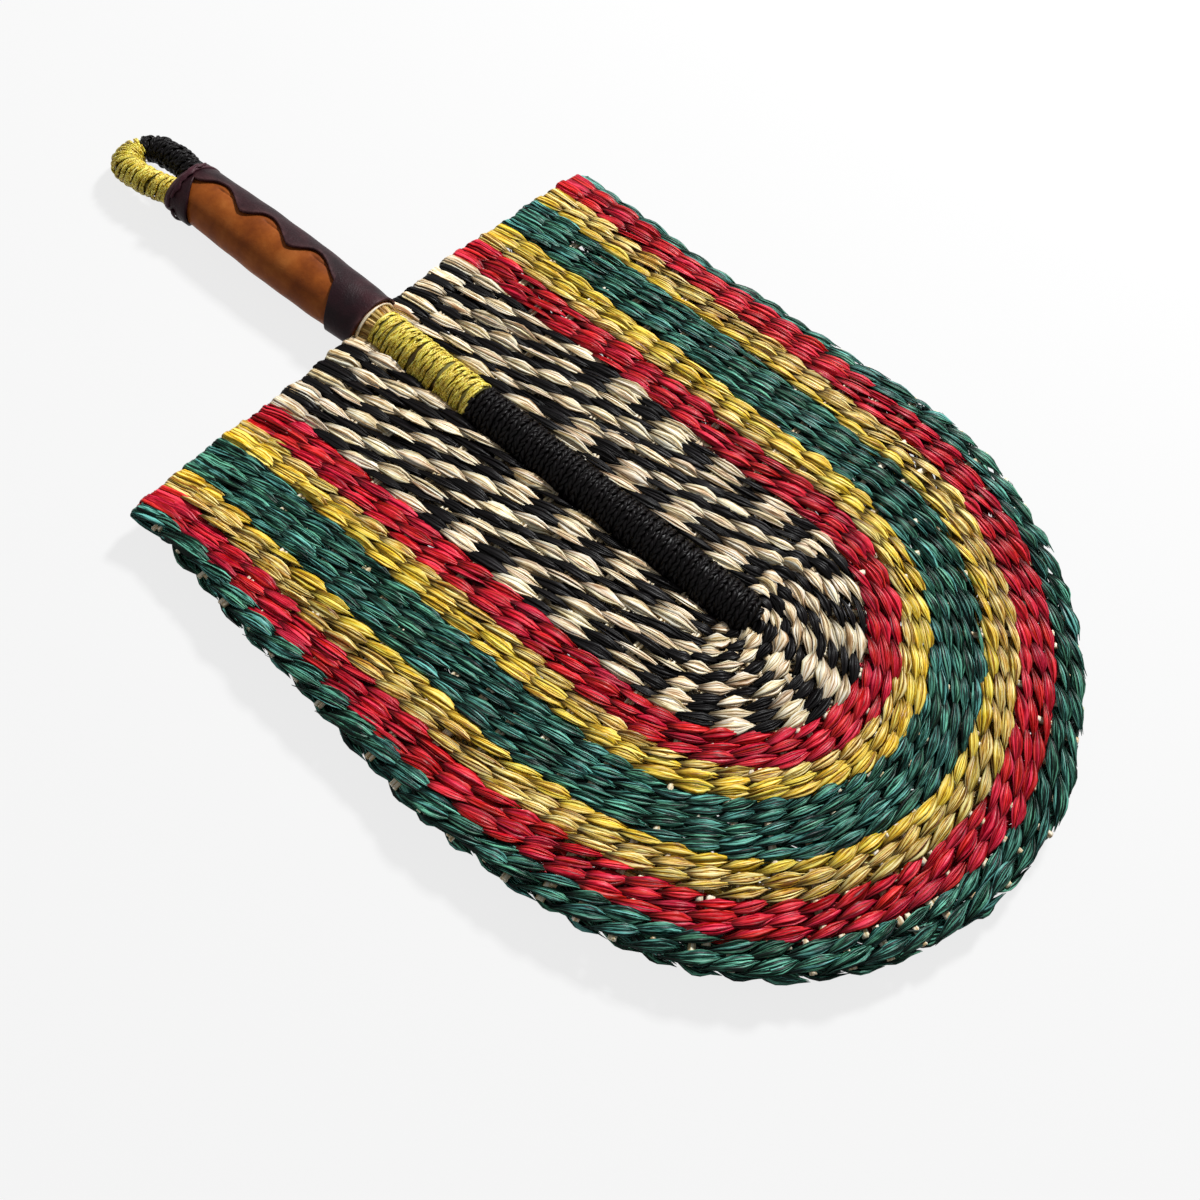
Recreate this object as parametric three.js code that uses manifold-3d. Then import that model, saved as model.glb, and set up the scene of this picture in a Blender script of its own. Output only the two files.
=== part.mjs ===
import * as THREE from "three";
import { mergeVertices } from "three/addons/utils/BufferGeometryUtils.js";
import Module from "manifold-3d";

const wasm = await Module();
wasm.setup();

// A woven straw paddle fan with a wrapped spine, a leather grip and a hanging loop.
// Sizes are in millimetres. X runs across the blade, Y along the handle towards the blade's
// round end, Z up through the front face. Pieces are laid out about the centre of the round end,
// in the blade's middle plane. "Run" is the distance from there towards the handle, along -Y.

// Clearances
const seatClearance = 0.3;
const rowGap = 0.3;
const turnGap = 0.5;

// Weave: the width that one row takes, and the bands of rows from the spine to the rim
const fieldRowPitch = 4.5;
const innerRedRowPitch = 4.3;
const innerYellowRowPitch = 3.7;
const innerGreenRowPitch = 4.0;
const outerYellowRowPitch = 4.4;
const outerRedRowPitch = 4.4;
const rimGreenRowPitch = 4.9;
const bands = [
  { name: "field_row", rows: 9, pitch: fieldRowPitch, colours: ["cream", "black"] },
  { name: "inner_red_row", rows: 3, pitch: innerRedRowPitch, colours: ["red"] },
  { name: "inner_yellow_row", rows: 3, pitch: innerYellowRowPitch, colours: ["yellow"] },
  { name: "inner_green_row", rows: 5, pitch: innerGreenRowPitch, colours: ["green"] },
  { name: "outer_yellow_row", rows: 3, pitch: outerYellowRowPitch, colours: ["yellow"] },
  { name: "outer_red_row", rows: 3, pitch: outerRedRowPitch, colours: ["red"] },
  { name: "rim_green_row", rows: 2, pitch: rimGreenRowPitch, colours: ["green"] },
];
const forkBand = "inner_green_row";

// The straight sides' length at the rim, how much further the rows reach beside the spine, and
// how far the rim draws in at the open edge
const bladeStraightLength = 168.5;
const openEdgeBow = 4;
const openEdgeDrawIn = 7;
const strandThickness = 2.1;
const strandBevel = 0.7;

// Straws that carry the rows
const strawThickness = 1.2;
const firstStrawRun = 2.6;
const crossStrawPitch = 12;
const crossStrawWidth = 3;
const crossStrawNeck = 1;
const tipStrawCount = 12;
const tipStrawWidth = 2;
const rimCover = 2.5;

// Spine
const spineCoreRadius = 7.4;
const wrapThickness = 1.3;
const blackWrapLength = 120;
const blackBandWidth = 4.2;
const yellowBandWidth = 1.3;
const bareCoreLength = 5;
const tipDomeLength = 7.5;

// Grip
const gripSetBack = 0.5;
const gripLength = 95;
const gripCoreHalfThickness = 7.5;
const gripBulge = 1.4;
const leatherThickness = 1;
const bladeCollarLength = 19;
const loopCollarLength = 4;
const windowSkew = 0.7;
const scallopCount = 3;
const scallopCuspAngle = 84;
const scallopLobeAngle = 112;
const scallopLean = 0.8;
const scallopRoundness = 1.3;
const thongWidth = 2;
const thongThickness = 0.9;
const thongTurns = 1;
const thongInset = 0.6;

// Hanging loop
const loopCoreRadius = 3.5;
const loopBandWidth = 1.3;
const loopHoleWidth = 6.4;
const loopMouthGap = 1;
const loopStraightLength = 8;
const loopFlareLength = 15;
const loopSocketDepth = 15;
const loopSocketWall = 0.4;
const loopColourAngle = 115;

// The handle's lean to +X, in degrees, and the sag of the loop's end
const handleLean = 2;
const loopSag = 5;

// Facets
const facesRound = 12;
const gripFaces = 24;
const gripSteps = 4;

const palette = {
  cream: "#dcc896",
  black: "#1c161c",
  red: "#be0f23",
  yellow: "#d7b43c",
  green: "#0f463a",
  natural: "#e6d6aa",
  golden: "#cdbe32",
  stalk: "#c8a850",
  tan: "#a05a18",
  maroon: "#321923",
  purple: "#4a1f38",
};

// Sizes that follow from the ones above
const slotHalf = strawThickness / 2 + seatClearance;
const wrapInnerRadius = spineCoreRadius + seatClearance;
const wrapOuterRadius = wrapInnerRadius + wrapThickness;
const rowsInner = wrapOuterRadius + seatClearance;
const rimRadius = bands.reduce((edge, band) => edge + band.rows * band.pitch, rowsInner);
const strawReach = rimRadius * Math.cos(Math.PI / tipStrawCount / 2) - rimCover;
const lastStrawRun = bladeStraightLength - strandThickness - seatClearance - crossStrawWidth / 2;
const crossStrawCount = 1 + Math.floor((lastStrawRun - firstStrawRun) / crossStrawPitch);
const crossStrawRuns = Array.from({ length: crossStrawCount }, (_, i) => firstStrawRun + i * crossStrawPitch);
const gripStart = bladeStraightLength + openEdgeBow + gripSetBack;
const gripEnd = gripStart + gripLength;
const loopWrapOuter = loopCoreRadius + seatClearance + wrapThickness;
const loopLegX = loopWrapOuter + loopMouthGap / 2;
const loopBendRadius = loopHoleWidth / 2 + loopWrapOuter;
const loopSocketRadius = loopCoreRadius + seatClearance;
const loopBendRun = gripEnd + loopFlareLength + loopStraightLength;
const loopReach = loopFlareLength + loopStraightLength + loopBendRadius + loopWrapOuter;
const bareCoreStart = gripStart - bareCoreLength;
const gripCoreHalfWidth = loopLegX + loopSocketRadius + loopSocketWall;

const X = new THREE.Vector3(1, 0, 0);
const Y = new THREE.Vector3(0, 1, 0);
const Z = new THREE.Vector3(0, 0, 1);

const degrees = THREE.MathUtils.degToRad;

function material(colour, roughness) {
  return new THREE.MeshStandardMaterial({ color: palette[colour], roughness, metalness: 0 });
}

function namedMesh(name, geometry, colour, roughness = 0.6) {
  const mesh = new THREE.Mesh(geometry, material(colour, roughness));
  mesh.name = name;
  return mesh;
}

// A station is a place on a sweep: an origin, the two directions of its section, and the
// section's points in those directions, counter-clockwise seen against the sweep's travel.
function stationPoints(station) {
  return station.section.map(([a, b]) =>
    station.origin.clone().addScaledVector(station.a, a).addScaledVector(station.b, b));
}

function sweep(stations, closed = false) {
  const sides = stations[0].section.length;
  const positions = stations.flatMap((station) => stationPoints(station).flatMap((p) => p.toArray()));
  const faces = [];
  const spans = closed ? stations.length : stations.length - 1;
  for (let i = 0; i < spans; i += 1) {
    const here = i * sides;
    const next = ((i + 1) % stations.length) * sides;
    for (let j = 0; j < sides; j += 1) {
      const k = (j + 1) % sides;
      faces.push(here + j, here + k, next + k, here + j, next + k, next + j);
    }
  }
  if (!closed) {
    const last = (stations.length - 1) * sides;
    for (let j = 1; j < sides - 1; j += 1) {
      faces.push(0, j + 1, j, last, last + j, last + j + 1);
    }
  }
  const geometry = new THREE.BufferGeometry();
  geometry.setAttribute("position", new THREE.Float32BufferAttribute(positions, 3));
  geometry.setIndex(faces);
  return geometry;
}

function solidOf(geometry) {
  const bare = geometry.clone();
  bare.deleteAttribute("normal");
  bare.deleteAttribute("uv");
  const merged = mergeVertices(bare);
  const vertProperties = new Float32Array(merged.getAttribute("position").array);
  const triVerts = new Uint32Array(merged.index.array);
  return new wasm.Manifold(new wasm.Mesh({ numProp: 3, vertProperties, triVerts }));
}

function geometryOf(solid) {
  const mesh = solid.getMesh();
  const geometry = new THREE.BufferGeometry();
  geometry.setAttribute("position", new THREE.Float32BufferAttribute(mesh.vertProperties, 3));
  geometry.setIndex(Array.from(mesh.triVerts));
  return geometry;
}

function cut(geometry, cutters) {
  let solid = solidOf(geometry);
  for (const cutter of cutters) solid = solid.subtract(solidOf(cutter));
  return geometryOf(solid);
}

function ovalSection(halfA, halfB, faces) {
  return Array.from({ length: faces }, (_, i) => {
    const angle = (2 * Math.PI * i) / faces;
    return [halfA * Math.cos(angle), halfB * Math.sin(angle)];
  });
}

function bandSection(thickness, width) {
  const crown = width / 4;
  return [
    [0, -width / 2],
    [thickness, -crown],
    [thickness, crown],
    [0, width / 2],
  ];
}

// The handle leans from the end of its wrap, and the loop sags beyond the grip.
function bent(geometry) {
  const slope = Math.tan(degrees(handleLean));
  const position = geometry.getAttribute("position");
  for (let i = 0; i < position.count; i += 1) {
    const run = -position.getY(i);
    const past = Math.max(run - bareCoreStart, 0);
    const hang = Math.max(run - gripEnd, 0) / loopReach;
    position.setX(i, position.getX(i) + slope * past);
    position.setZ(i, position.getZ(i) - loopSag * hang ** 2);
  }
  return geometry;
}

// The least distance between points of a wound tube that lie more than half a turn apart.
function reportTurnGap(name, stations) {
  const rings = stations.map(stationPoints);
  const apart = facesRound / 2 + 1;
  let least = Infinity;
  for (let i = 0; i < rings.length; i += 1) {
    for (let j = i + apart; j < rings.length; j += 1) {
      for (const p of rings[i]) {
        for (const q of rings[j]) least = Math.min(least, p.distanceTo(q));
      }
    }
  }
  console.log(`${name}: least gap between turns ${least.toFixed(2)} mm`);
}

// Woven rows
function rowStation(x, y, z, a, b, width) {
  const section = [
    [-width / 2, 0],
    [width / 2, 0],
    [width / 2 - strandBevel, strandThickness],
    [-width / 2 + strandBevel, strandThickness],
  ];
  return { origin: new THREE.Vector3(x, y, z), a, b, section };
}

// One row runs up the left side, round the end and down the right side in front of the straws,
// turns over the open edge, and comes back the same way behind them.
function rowGeometry(offset, pitch) {
  const weaveWidth = rimRadius - rowsInner;
  const drawIn = openEdgeDrawIn / weaveWidth;
  const endX = offset - drawIn * (offset - rowsInner);
  const bow = (openEdgeBow * (rimRadius - offset)) / weaveWidth;
  const endY = strandThickness - bladeStraightLength - bow;
  const endWidth = pitch * (1 - drawIn) - rowGap;
  const face = (front) => {
    const z = front ? slotHalf : -slotHalf;
    const b = front ? Z : Z.clone().negate();
    const stations = [rowStation(-endX, endY, z, X.clone().negate(), b, endWidth)];
    for (let i = 0; i <= tipStrawCount; i += 1) {
      const angle = Math.PI * (1 - i / tipStrawCount);
      const a = new THREE.Vector3(Math.cos(angle), Math.sin(angle), 0);
      stations.push(rowStation(offset * a.x, offset * a.y, z, a, b, pitch - rowGap));
    }
    stations.push(rowStation(endX, endY, z, X, b, endWidth));
    return front ? stations : stations.reverse();
  };
  const nose = (side, turns) => turns.map((turn) => {
    const b = new THREE.Vector3(0, -Math.sin(degrees(turn)), Math.cos(degrees(turn)));
    const z = slotHalf * Math.cos(degrees(turn));
    return rowStation(side * endX, endY, z, X.clone().multiplyScalar(side), b, endWidth);
  });
  const stations = [...face(true), ...nose(1, [60, 120]), ...face(false), ...nose(-1, [120, 60])];
  return sweep(stations, true);
}

function weave() {
  const group = new THREE.Group();
  let edge = rowsInner;
  for (const band of bands) {
    for (let row = 0; row < band.rows; row += 1) {
      const geometry = rowGeometry(edge + band.pitch / 2, band.pitch);
      const colour = band.colours[row % band.colours.length];
      group.add(namedMesh(`${band.name}_${row + 1}`, geometry, colour));
      edge += band.pitch;
    }
  }
  return group;
}

// Straws
function flatStraw(shape) {
  const geometry = new THREE.ExtrudeGeometry(shape, { depth: strawThickness, bevelEnabled: false });
  return geometry.translate(0, 0, -strawThickness / 2);
}

// A cross straw narrows to a neck where it passes through the spine and between the wrap's turns.
function crossStrawShape(run) {
  const drawIn = (openEdgeDrawIn * run) / bladeStraightLength;
  const reach = rimRadius - drawIn - rimCover;
  const half = crossStrawWidth / 2;
  const neck = crossStrawNeck / 2;
  const shoulder = rowsInner + half;
  const corners = [[reach, half], [shoulder, half], [rowsInner, neck]];
  const upper = [...corners, ...corners.map(([x, y]) => [-x, y]).reverse()];
  const lower = upper.map(([x, y]) => [x, -y]).reverse();
  return new THREE.Shape([...upper, ...lower].map(([x, y]) => new THREE.Vector2(x, y)));
}

function crossStraws() {
  const group = new THREE.Group();
  crossStrawRuns.forEach((run, i) => {
    const name = `cross_straw_${String(i + 1).padStart(2, "0")}`;
    const straw = namedMesh(name, flatStraw(crossStrawShape(run)), "natural");
    straw.position.y = -run;
    group.add(straw);
  });
  return group;
}

// The tip straws spread from the spine's end, and each forks in two where the rows grow long.
function tipStrawShape() {
  const step = Math.PI / tipStrawCount;
  const half = tipStrawWidth / 2;
  const before = bands.slice(0, bands.findIndex((band) => band.name === forkBand));
  const forkRadius = before.reduce((edge, band) => edge + band.rows * band.pitch, rowsInner);
  const endX = strawReach * Math.cos(step / 4);
  const endY = strawReach * Math.sin(step / 4);
  const lean = Math.atan2(endY, endX - forkRadius);
  const acrossX = half * Math.sin(lean);
  const acrossY = half * Math.cos(lean);
  const crotch = forkRadius + half / Math.sin(lean);
  const profile = [
    [forkRadius, -half],
    [endX - acrossX, -endY - acrossY],
    [endX + acrossX, -endY + acrossY],
    [crotch, 0],
    [endX + acrossX, endY - acrossY],
    [endX - acrossX, endY + acrossY],
    [forkRadius, half],
  ];
  const notchRadius = half / Math.sin(step / 2);
  const points = [];
  for (let i = 0; i < tipStrawCount; i += 1) {
    const angle = (i + 0.5) * step;
    points.push(new THREE.Vector2(notchRadius, 0).rotateAround(new THREE.Vector2(), i * step));
    for (const [x, y] of profile) {
      points.push(new THREE.Vector2(x, y).rotateAround(new THREE.Vector2(), angle));
    }
  }
  points.push(new THREE.Vector2(-notchRadius, 0));
  return new THREE.Shape(points);
}

// Spine
function gripSwell(run) {
  const share = THREE.MathUtils.clamp((run - gripStart) / gripLength, 0, 1);
  return gripBulge * Math.sin(Math.PI * share);
}

const gripRuns = Array.from({ length: gripSteps + 1 }, (_, i) => gripStart + (gripLength * i) / gripSteps);

function coreStation(run, halfWidth, halfThickness) {
  const origin = new THREE.Vector3(0, -run, 0);
  return { origin, a: Z, b: X, section: ovalSection(halfThickness, halfWidth, facesRound) };
}

function boxCutter(width, length, height, run) {
  return new THREE.BoxGeometry(width, length, height).translate(0, -run, 0);
}

function socketCutter(side) {
  const depth = loopSocketDepth + seatClearance;
  const stations = [gripEnd + seatClearance, gripEnd - depth].map((run) => {
    const station = coreStation(run, loopSocketRadius, loopSocketRadius);
    station.origin.x = side * loopLegX;
    return station;
  });
  return sweep(stations);
}

function spineCore() {
  const domeSteps = 3;
  const stations = gripRuns.toReversed().map((run) => {
    const swell = gripSwell(run);
    return coreStation(run, gripCoreHalfWidth + swell, gripCoreHalfThickness + swell);
  });
  stations.push(coreStation(bareCoreStart, spineCoreRadius, spineCoreRadius));
  for (let i = 0; i <= domeSteps; i += 1) {
    const angle = (i / (domeSteps + 0.5)) * (Math.PI / 2);
    const radius = spineCoreRadius * Math.cos(angle);
    stations.push(coreStation(-tipDomeLength * Math.sin(angle), radius, radius));
  }
  const across = 2 * rowsInner;
  const slotHeight = 2 * slotHalf;
  const slots = crossStrawRuns.map((run) =>
    boxCutter(across, crossStrawNeck + 2 * seatClearance, slotHeight, run));
  const tipSlotLength = tipDomeLength + 2 * seatClearance;
  slots.push(boxCutter(across, tipSlotLength, slotHeight, seatClearance - tipSlotLength / 2));
  return cut(sweep(stations), [...slots, socketCutter(-1), socketCutter(1)]);
}

// Where the turns of a wrap cross the spine's sides, spread evenly over each clear stretch
// between two straws.
function turnRuns(from, to, straws, width) {
  const beside = crossStrawNeck / 2 + seatClearance + width / 2;
  const edges = [from + width / 2, ...straws.flatMap((run) => [run - beside, run + beside]), to - width / 2];
  const runs = [];
  for (let i = 0; i < edges.length; i += 2) {
    const span = edges[i + 1] - edges[i];
    const spaces = Math.floor(span / (width + turnGap));
    for (let k = 0; k <= spaces; k += 1) {
      runs.push(edges[i] + (spaces ? (span * k) / spaces : span / 2));
    }
  }
  return runs;
}

// Each turn crosses the front square to the spine, and climbs to the next one behind it.
function spineWrap(name, from, to, straws, width) {
  const section = bandSection(wrapThickness, width);
  const runs = turnRuns(from, to, straws, width);
  const station = (run, angle, drop = 0) => {
    const a = new THREE.Vector3(Math.cos(angle), 0, Math.sin(angle));
    const origin = a.clone().multiplyScalar(wrapInnerRadius).setY(-run);
    origin.z -= drop;
    return { origin, a, b: Y, section };
  };
  const half = facesRound / 2;
  const stations = [station(runs[0], 0, wrapThickness)];
  runs.forEach((run, turn) => {
    for (let i = 0; i <= half; i += 1) stations.push(station(run, (Math.PI * i) / half));
    const next = runs[turn + 1];
    if (next === undefined) return;
    for (let i = 1; i < half; i += 1) {
      const share = (1 - Math.cos((Math.PI * i) / half)) / 2;
      stations.push(station(run + (next - run) * share, Math.PI * (1 + i / half)));
    }
  });
  stations.push(station(runs[runs.length - 1], Math.PI, wrapThickness));
  reportTurnGap(name, stations);
  return sweep(stations);
}

// Grip
function leatherTube(inside) {
  const outer = gripRuns.map((run) => [gripSwell(run) + inside + leatherThickness, -run]);
  const inner = gripRuns.map((run) => [gripSwell(run) + inside, -run]);
  const section = [...outer.reverse(), ...inner];
  const stations = Array.from({ length: gripFaces }, (_, i) => {
    const angle = (2 * Math.PI * i) / gripFaces;
    const a = new THREE.Vector3(Math.cos(angle), 0, Math.sin(angle));
    const origin = new THREE.Vector3(gripCoreHalfWidth * a.x, 0, gripCoreHalfThickness * a.z);
    return { origin, a, b: Y, section };
  });
  return sweep(stations, true);
}

// The window in the overlay: a wedge round the +X side whose two edges run in scallops. Each
// scallop is steeper at its blade end, and the window leans towards the blade on the +X side.
function windowCutter() {
  const arcPoints = 11;
  const stepsPerLobe = 8;
  const reach = 3 * gripCoreHalfWidth;
  const length = gripLength - bladeCollarLength - loopCollarLength;
  const steps = scallopCount * stepsPerLobe;
  const skewed = new THREE.Vector3(1, windowSkew, 0);
  const stations = Array.from({ length: steps + 1 }, (_, i) => {
    const share = (i % stepsPerLobe) / stepsPerLobe;
    const lobe = Math.sin(Math.PI * share ** scallopLean) ** scallopRoundness;
    const edge = degrees(scallopCuspAngle + (scallopLobeAngle - scallopCuspAngle) * lobe);
    const arc = Array.from({ length: arcPoints }, (_, k) => {
      const angle = edge * ((2 * k) / (arcPoints - 1) - 1);
      return [reach * Math.cos(angle), reach * Math.sin(angle)];
    });
    const run = gripStart + bladeCollarLength + (length * i) / steps;
    return { origin: new THREE.Vector3(0, -run, 0), a: skewed, b: Z, section: [[0, 0], ...arc] };
  });
  return sweep(stations);
}

function thong() {
  const seat = 2 * (seatClearance + leatherThickness) + seatClearance;
  const section = bandSection(thongThickness, thongWidth);
  const steps = gripFaces * thongTurns;
  const stations = Array.from({ length: steps + 1 }, (_, i) => {
    const angle = (2 * Math.PI * i) / gripFaces;
    const a = new THREE.Vector3(Math.cos(angle), 0, Math.sin(angle));
    const climb = ((thongWidth + turnGap) * i) / gripFaces;
    const run = gripEnd - thongInset - thongWidth / 2 - climb;
    const out = seat + gripSwell(run);
    const origin = new THREE.Vector3(gripCoreHalfWidth * a.x, -run, gripCoreHalfThickness * a.z);
    return { origin: origin.addScaledVector(a, out), a, b: Y, section };
  });
  reportTurnGap("loop_end_thong", stations);
  return sweep(stations);
}

// Hanging loop
function loopPath() {
  const path = new THREE.Path();
  const mouth = -gripEnd;
  const flared = mouth - loopFlareLength;
  const middle = mouth - loopFlareLength / 2;
  path.moveTo(loopLegX, mouth + loopSocketDepth);
  path.lineTo(loopLegX, mouth);
  path.bezierCurveTo(loopLegX, middle, loopBendRadius, middle, loopBendRadius, flared);
  path.lineTo(loopBendRadius, -loopBendRun);
  path.absarc(0, -loopBendRun, loopBendRadius, 0, Math.PI, true);
  path.lineTo(-loopBendRadius, flared);
  path.bezierCurveTo(-loopBendRadius, middle, -loopLegX, middle, -loopLegX, mouth);
  path.lineTo(-loopLegX, mouth + loopSocketDepth);
  return path;
}

const loopCurve = loopPath();
const loopLength = loopCurve.getLength();

// A point on the loop's middle line, with its direction and the normal in the loop's plane.
function loopFrame(distance) {
  const share = distance / loopLength;
  const point = loopCurve.getPoint(share);
  const tangent = loopCurve.getTangent(share);
  return {
    point: new THREE.Vector3(point.x, point.y, 0),
    along: new THREE.Vector3(tangent.x, tangent.y, 0),
    side: new THREE.Vector3(tangent.y, -tangent.x, 0),
  };
}

function loopCore() {
  const stepLength = 3;
  const steps = Math.round(loopLength / stepLength);
  const section = ovalSection(loopCoreRadius, loopCoreRadius, facesRound);
  const stations = Array.from({ length: steps + 1 }, (_, i) => {
    const frame = loopFrame((loopLength * i) / steps);
    return { origin: frame.point, a: frame.side.negate(), b: Z, section };
  });
  return sweep(stations);
}

function loopBend(distance) {
  const reach = 0.5;
  const before = loopFrame(distance - reach).along;
  const after = loopFrame(distance + reach).along;
  return before.angleTo(after) / (2 * reach);
}

// Turns keep their gap on the inner side of the bend, so they spread where the loop curves.
function loopWrap(name, from, to) {
  const section = bandSection(wrapThickness, loopBandWidth);
  const inside = loopCoreRadius + seatClearance;
  const pitch = loopBandWidth + turnGap;
  const station = (distance, angle, lead = 0) => {
    const frame = loopFrame(distance);
    const a = frame.side.clone().multiplyScalar(Math.cos(angle)).addScaledVector(Z, Math.sin(angle));
    const onward = frame.side.clone().multiplyScalar(-Math.sin(angle)).addScaledVector(Z, Math.cos(angle));
    const origin = frame.point.clone().addScaledVector(a, inside).addScaledVector(onward, lead);
    return { origin, a, b: frame.along, section };
  };
  const turnLength = (distance) => pitch / (1 - loopWrapOuter * loopBend(distance));
  const last = to - turnLength(to) / 2;
  let distance = from + turnLength(from) / 2;
  let step = 0;
  const stations = [station(distance, 0, -wrapThickness)];
  while (distance < last) {
    stations.push(station(distance, (2 * Math.PI * step) / facesRound));
    distance += turnLength(distance) / facesRound;
    step += 1;
  }
  stations.push(station(Math.min(distance, last), (2 * Math.PI * step) / facesRound, wrapThickness));
  reportTurnGap(name, stations);
  return sweep(stations);
}

function loop() {
  const mouth = loopSocketDepth + seatClearance;
  const bendStart = (loopLength - Math.PI * loopBendRadius) / 2;
  const split = bendStart + loopBendRadius * degrees(loopColourAngle);
  const group = new THREE.Group();
  group.add(namedMesh("loop_core", bent(loopCore()), "stalk"));
  const yellow = loopWrap("loop_yellow_wrap", mouth, split);
  const black = loopWrap("loop_black_wrap", split, loopLength - mouth);
  group.add(namedMesh("loop_yellow_wrap", bent(yellow), "golden"));
  group.add(namedMesh("loop_black_wrap", bent(black), "black"));
  return group;
}

function spine() {
  const blackStraws = crossStrawRuns.filter((run) => run < blackWrapLength);
  const yellowStraws = crossStrawRuns.filter((run) => run >= blackWrapLength);
  const blackEnd = blackWrapLength - turnGap / 2;
  const yellowStart = blackWrapLength + turnGap / 2;
  const yellowEnd = bareCoreStart;
  const black = ["spine_black_wrap", seatClearance, blackEnd, blackStraws, blackBandWidth];
  const yellow = ["spine_yellow_wrap", yellowStart, yellowEnd, yellowStraws, yellowBandWidth];
  const group = new THREE.Group();
  group.add(namedMesh("spine_core", bent(spineCore()), "stalk"));
  group.add(namedMesh("spine_black_wrap", spineWrap(...black), "black"));
  group.add(namedMesh("spine_yellow_wrap", spineWrap(...yellow), "golden"));
  return group;
}

function grip() {
  const sleeveInside = seatClearance;
  const overlayInside = sleeveInside + leatherThickness + seatClearance;
  const overlay = cut(leatherTube(overlayInside), [windowCutter()]);
  const group = new THREE.Group();
  group.add(namedMesh("grip_sleeve", bent(leatherTube(sleeveInside)), "tan", 0.5));
  group.add(namedMesh("grip_overlay", bent(overlay), "maroon", 0.5));
  group.add(namedMesh("loop_end_thong", bent(thong()), "purple", 0.5));
  return group;
}

const fan = new THREE.Group();
fan.add(weave(), crossStraws(), namedMesh("tip_straws", flatStraw(tipStrawShape()), "natural"));
fan.add(spine(), grip(), loop());

// The origin lies under the middle of the fan, on the surface that the fan lies on.
const extent = new THREE.Box3().setFromObject(fan);
const middle = extent.getCenter(new THREE.Vector3());
fan.position.set(0, -middle.y, -extent.min.z);

export default fan;
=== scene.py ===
"""The looks of a woven straw fan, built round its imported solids.

The functions work in millimetres in the blade's own frame: the origin is the centre of the round
end, in the blade's middle plane. X runs across, Y towards the round end, Z out of the front face.
"Run" is the distance from the origin towards the handle, along -Y.
"""

import math
from collections import namedtuple

import bpy
import numpy as np
from mathutils import Matrix, Vector


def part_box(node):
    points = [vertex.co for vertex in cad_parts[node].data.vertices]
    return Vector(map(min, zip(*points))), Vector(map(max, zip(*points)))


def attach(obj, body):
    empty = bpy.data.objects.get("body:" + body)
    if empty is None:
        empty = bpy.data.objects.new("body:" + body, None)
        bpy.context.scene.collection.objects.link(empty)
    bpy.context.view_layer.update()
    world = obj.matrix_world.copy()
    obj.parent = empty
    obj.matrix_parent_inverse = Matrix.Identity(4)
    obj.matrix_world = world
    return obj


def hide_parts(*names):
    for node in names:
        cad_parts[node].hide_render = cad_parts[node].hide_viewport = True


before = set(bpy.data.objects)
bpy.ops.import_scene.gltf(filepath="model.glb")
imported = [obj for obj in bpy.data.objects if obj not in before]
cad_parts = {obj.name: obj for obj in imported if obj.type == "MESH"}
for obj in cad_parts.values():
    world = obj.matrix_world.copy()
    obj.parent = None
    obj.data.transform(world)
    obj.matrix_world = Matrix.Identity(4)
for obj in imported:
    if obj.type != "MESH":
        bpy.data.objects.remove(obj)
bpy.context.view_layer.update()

MM = 0.001
X, Y, Z = np.eye(3)


def span(node):
    """Lowest and highest corner of a CAD node, in millimetres in the row frame."""
    low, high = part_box(node)
    return np.array(low) / MM, np.array(high) / MM


# Places and sizes read from the solids
rim_low, rim_high = span("rim_green_row_2")
ORIGIN = np.array([0.0, rim_high[1] - rim_high[0], (rim_low[2] + rim_high[2]) / 2])
RIM_RADIUS = rim_high[0]
WRAP_RADIUS = span("spine_black_wrap")[1][0]


def runs_of(node):
    """Where a CAD node starts and ends along the handle."""
    low, high = span(node)
    return ORIGIN[1] - high[1], ORIGIN[1] - low[1]


STRAW_COUNT = 14
STRAW_RUNS = [sum(runs_of(f"cross_straw_{i + 1:02d}")) / 2 for i in range(STRAW_COUNT)]
GRIP_START, GRIP_END = runs_of("grip_sleeve")
YELLOW_WRAP_START, YELLOW_WRAP_END = runs_of("spine_yellow_wrap")
BLACK_WRAP_END = YELLOW_WRAP_START - 0.2

# Clearances, and how far a strand passes its solid's end, at the spine and at the rim
SEAT = 0.3
ROW_GAP = 0.3
EDGE_EXTRA_LEFT, EDGE_EXTRA_RIGHT = (4.0, 3.0), (0.9, 0.3)

# The outline of each side. Powers are of a row's place between the spine and the rim, and on the
# right of the place along the side as well.
DRAW_IN_LEFT, DRAW_IN_RIGHT = 5.0, 17.0
DRAW_IN_LEFT_POWER = 4
DRAW_IN_RIGHT_POWER, DRAW_IN_RIGHT_RUN_POWER = 2.6, 1.6
FLARE_LEFT, FLARE_RIGHT = 2.6, 3.0
CORNER_LENGTH = 16.0
HIP_LEFT, HIP_RIGHT = 3.0, -3.4
HIP_PLACE = 32.0
HIP_LENGTH = 45.0
RIM_POWER = 3

# How far the rows at some offsets from the middle stand outwards, on the sides and at the end
SWELL_OFFSETS = (9.0, 50.0, 63.0, 74.0, 94.0, 107.0, 120.0, 130.0)
SWELL_LEFT = (0.0, -2.1, -1.1, 1.7, 3.2, 2.8, 3.5, 0.0)
SWELL_RIGHT = (0.0, 2.5, 2.8, 3.0, 4.4, 4.3, 3.8, -0.5)
SWELL_END = (0.0, -0.6, -1.0, -2.0, -1.8, -2.0, -1.5, 0.0)
SWELL_LEAD, SWELL_EASE = 20, 50
END_POWER = 4

# How the blade lies: the left half lifts, and its rim rolls down towards the open edge
LEFT_LIFT = 1.0
LEFT_ROLL = 7.0
LEFT_ROLL_WIDTH = 16.0
ROLL_START, ROLL_EASE = 20, 80
SPINE_CLEAR, SPINE_EASE = 10, 22
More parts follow.
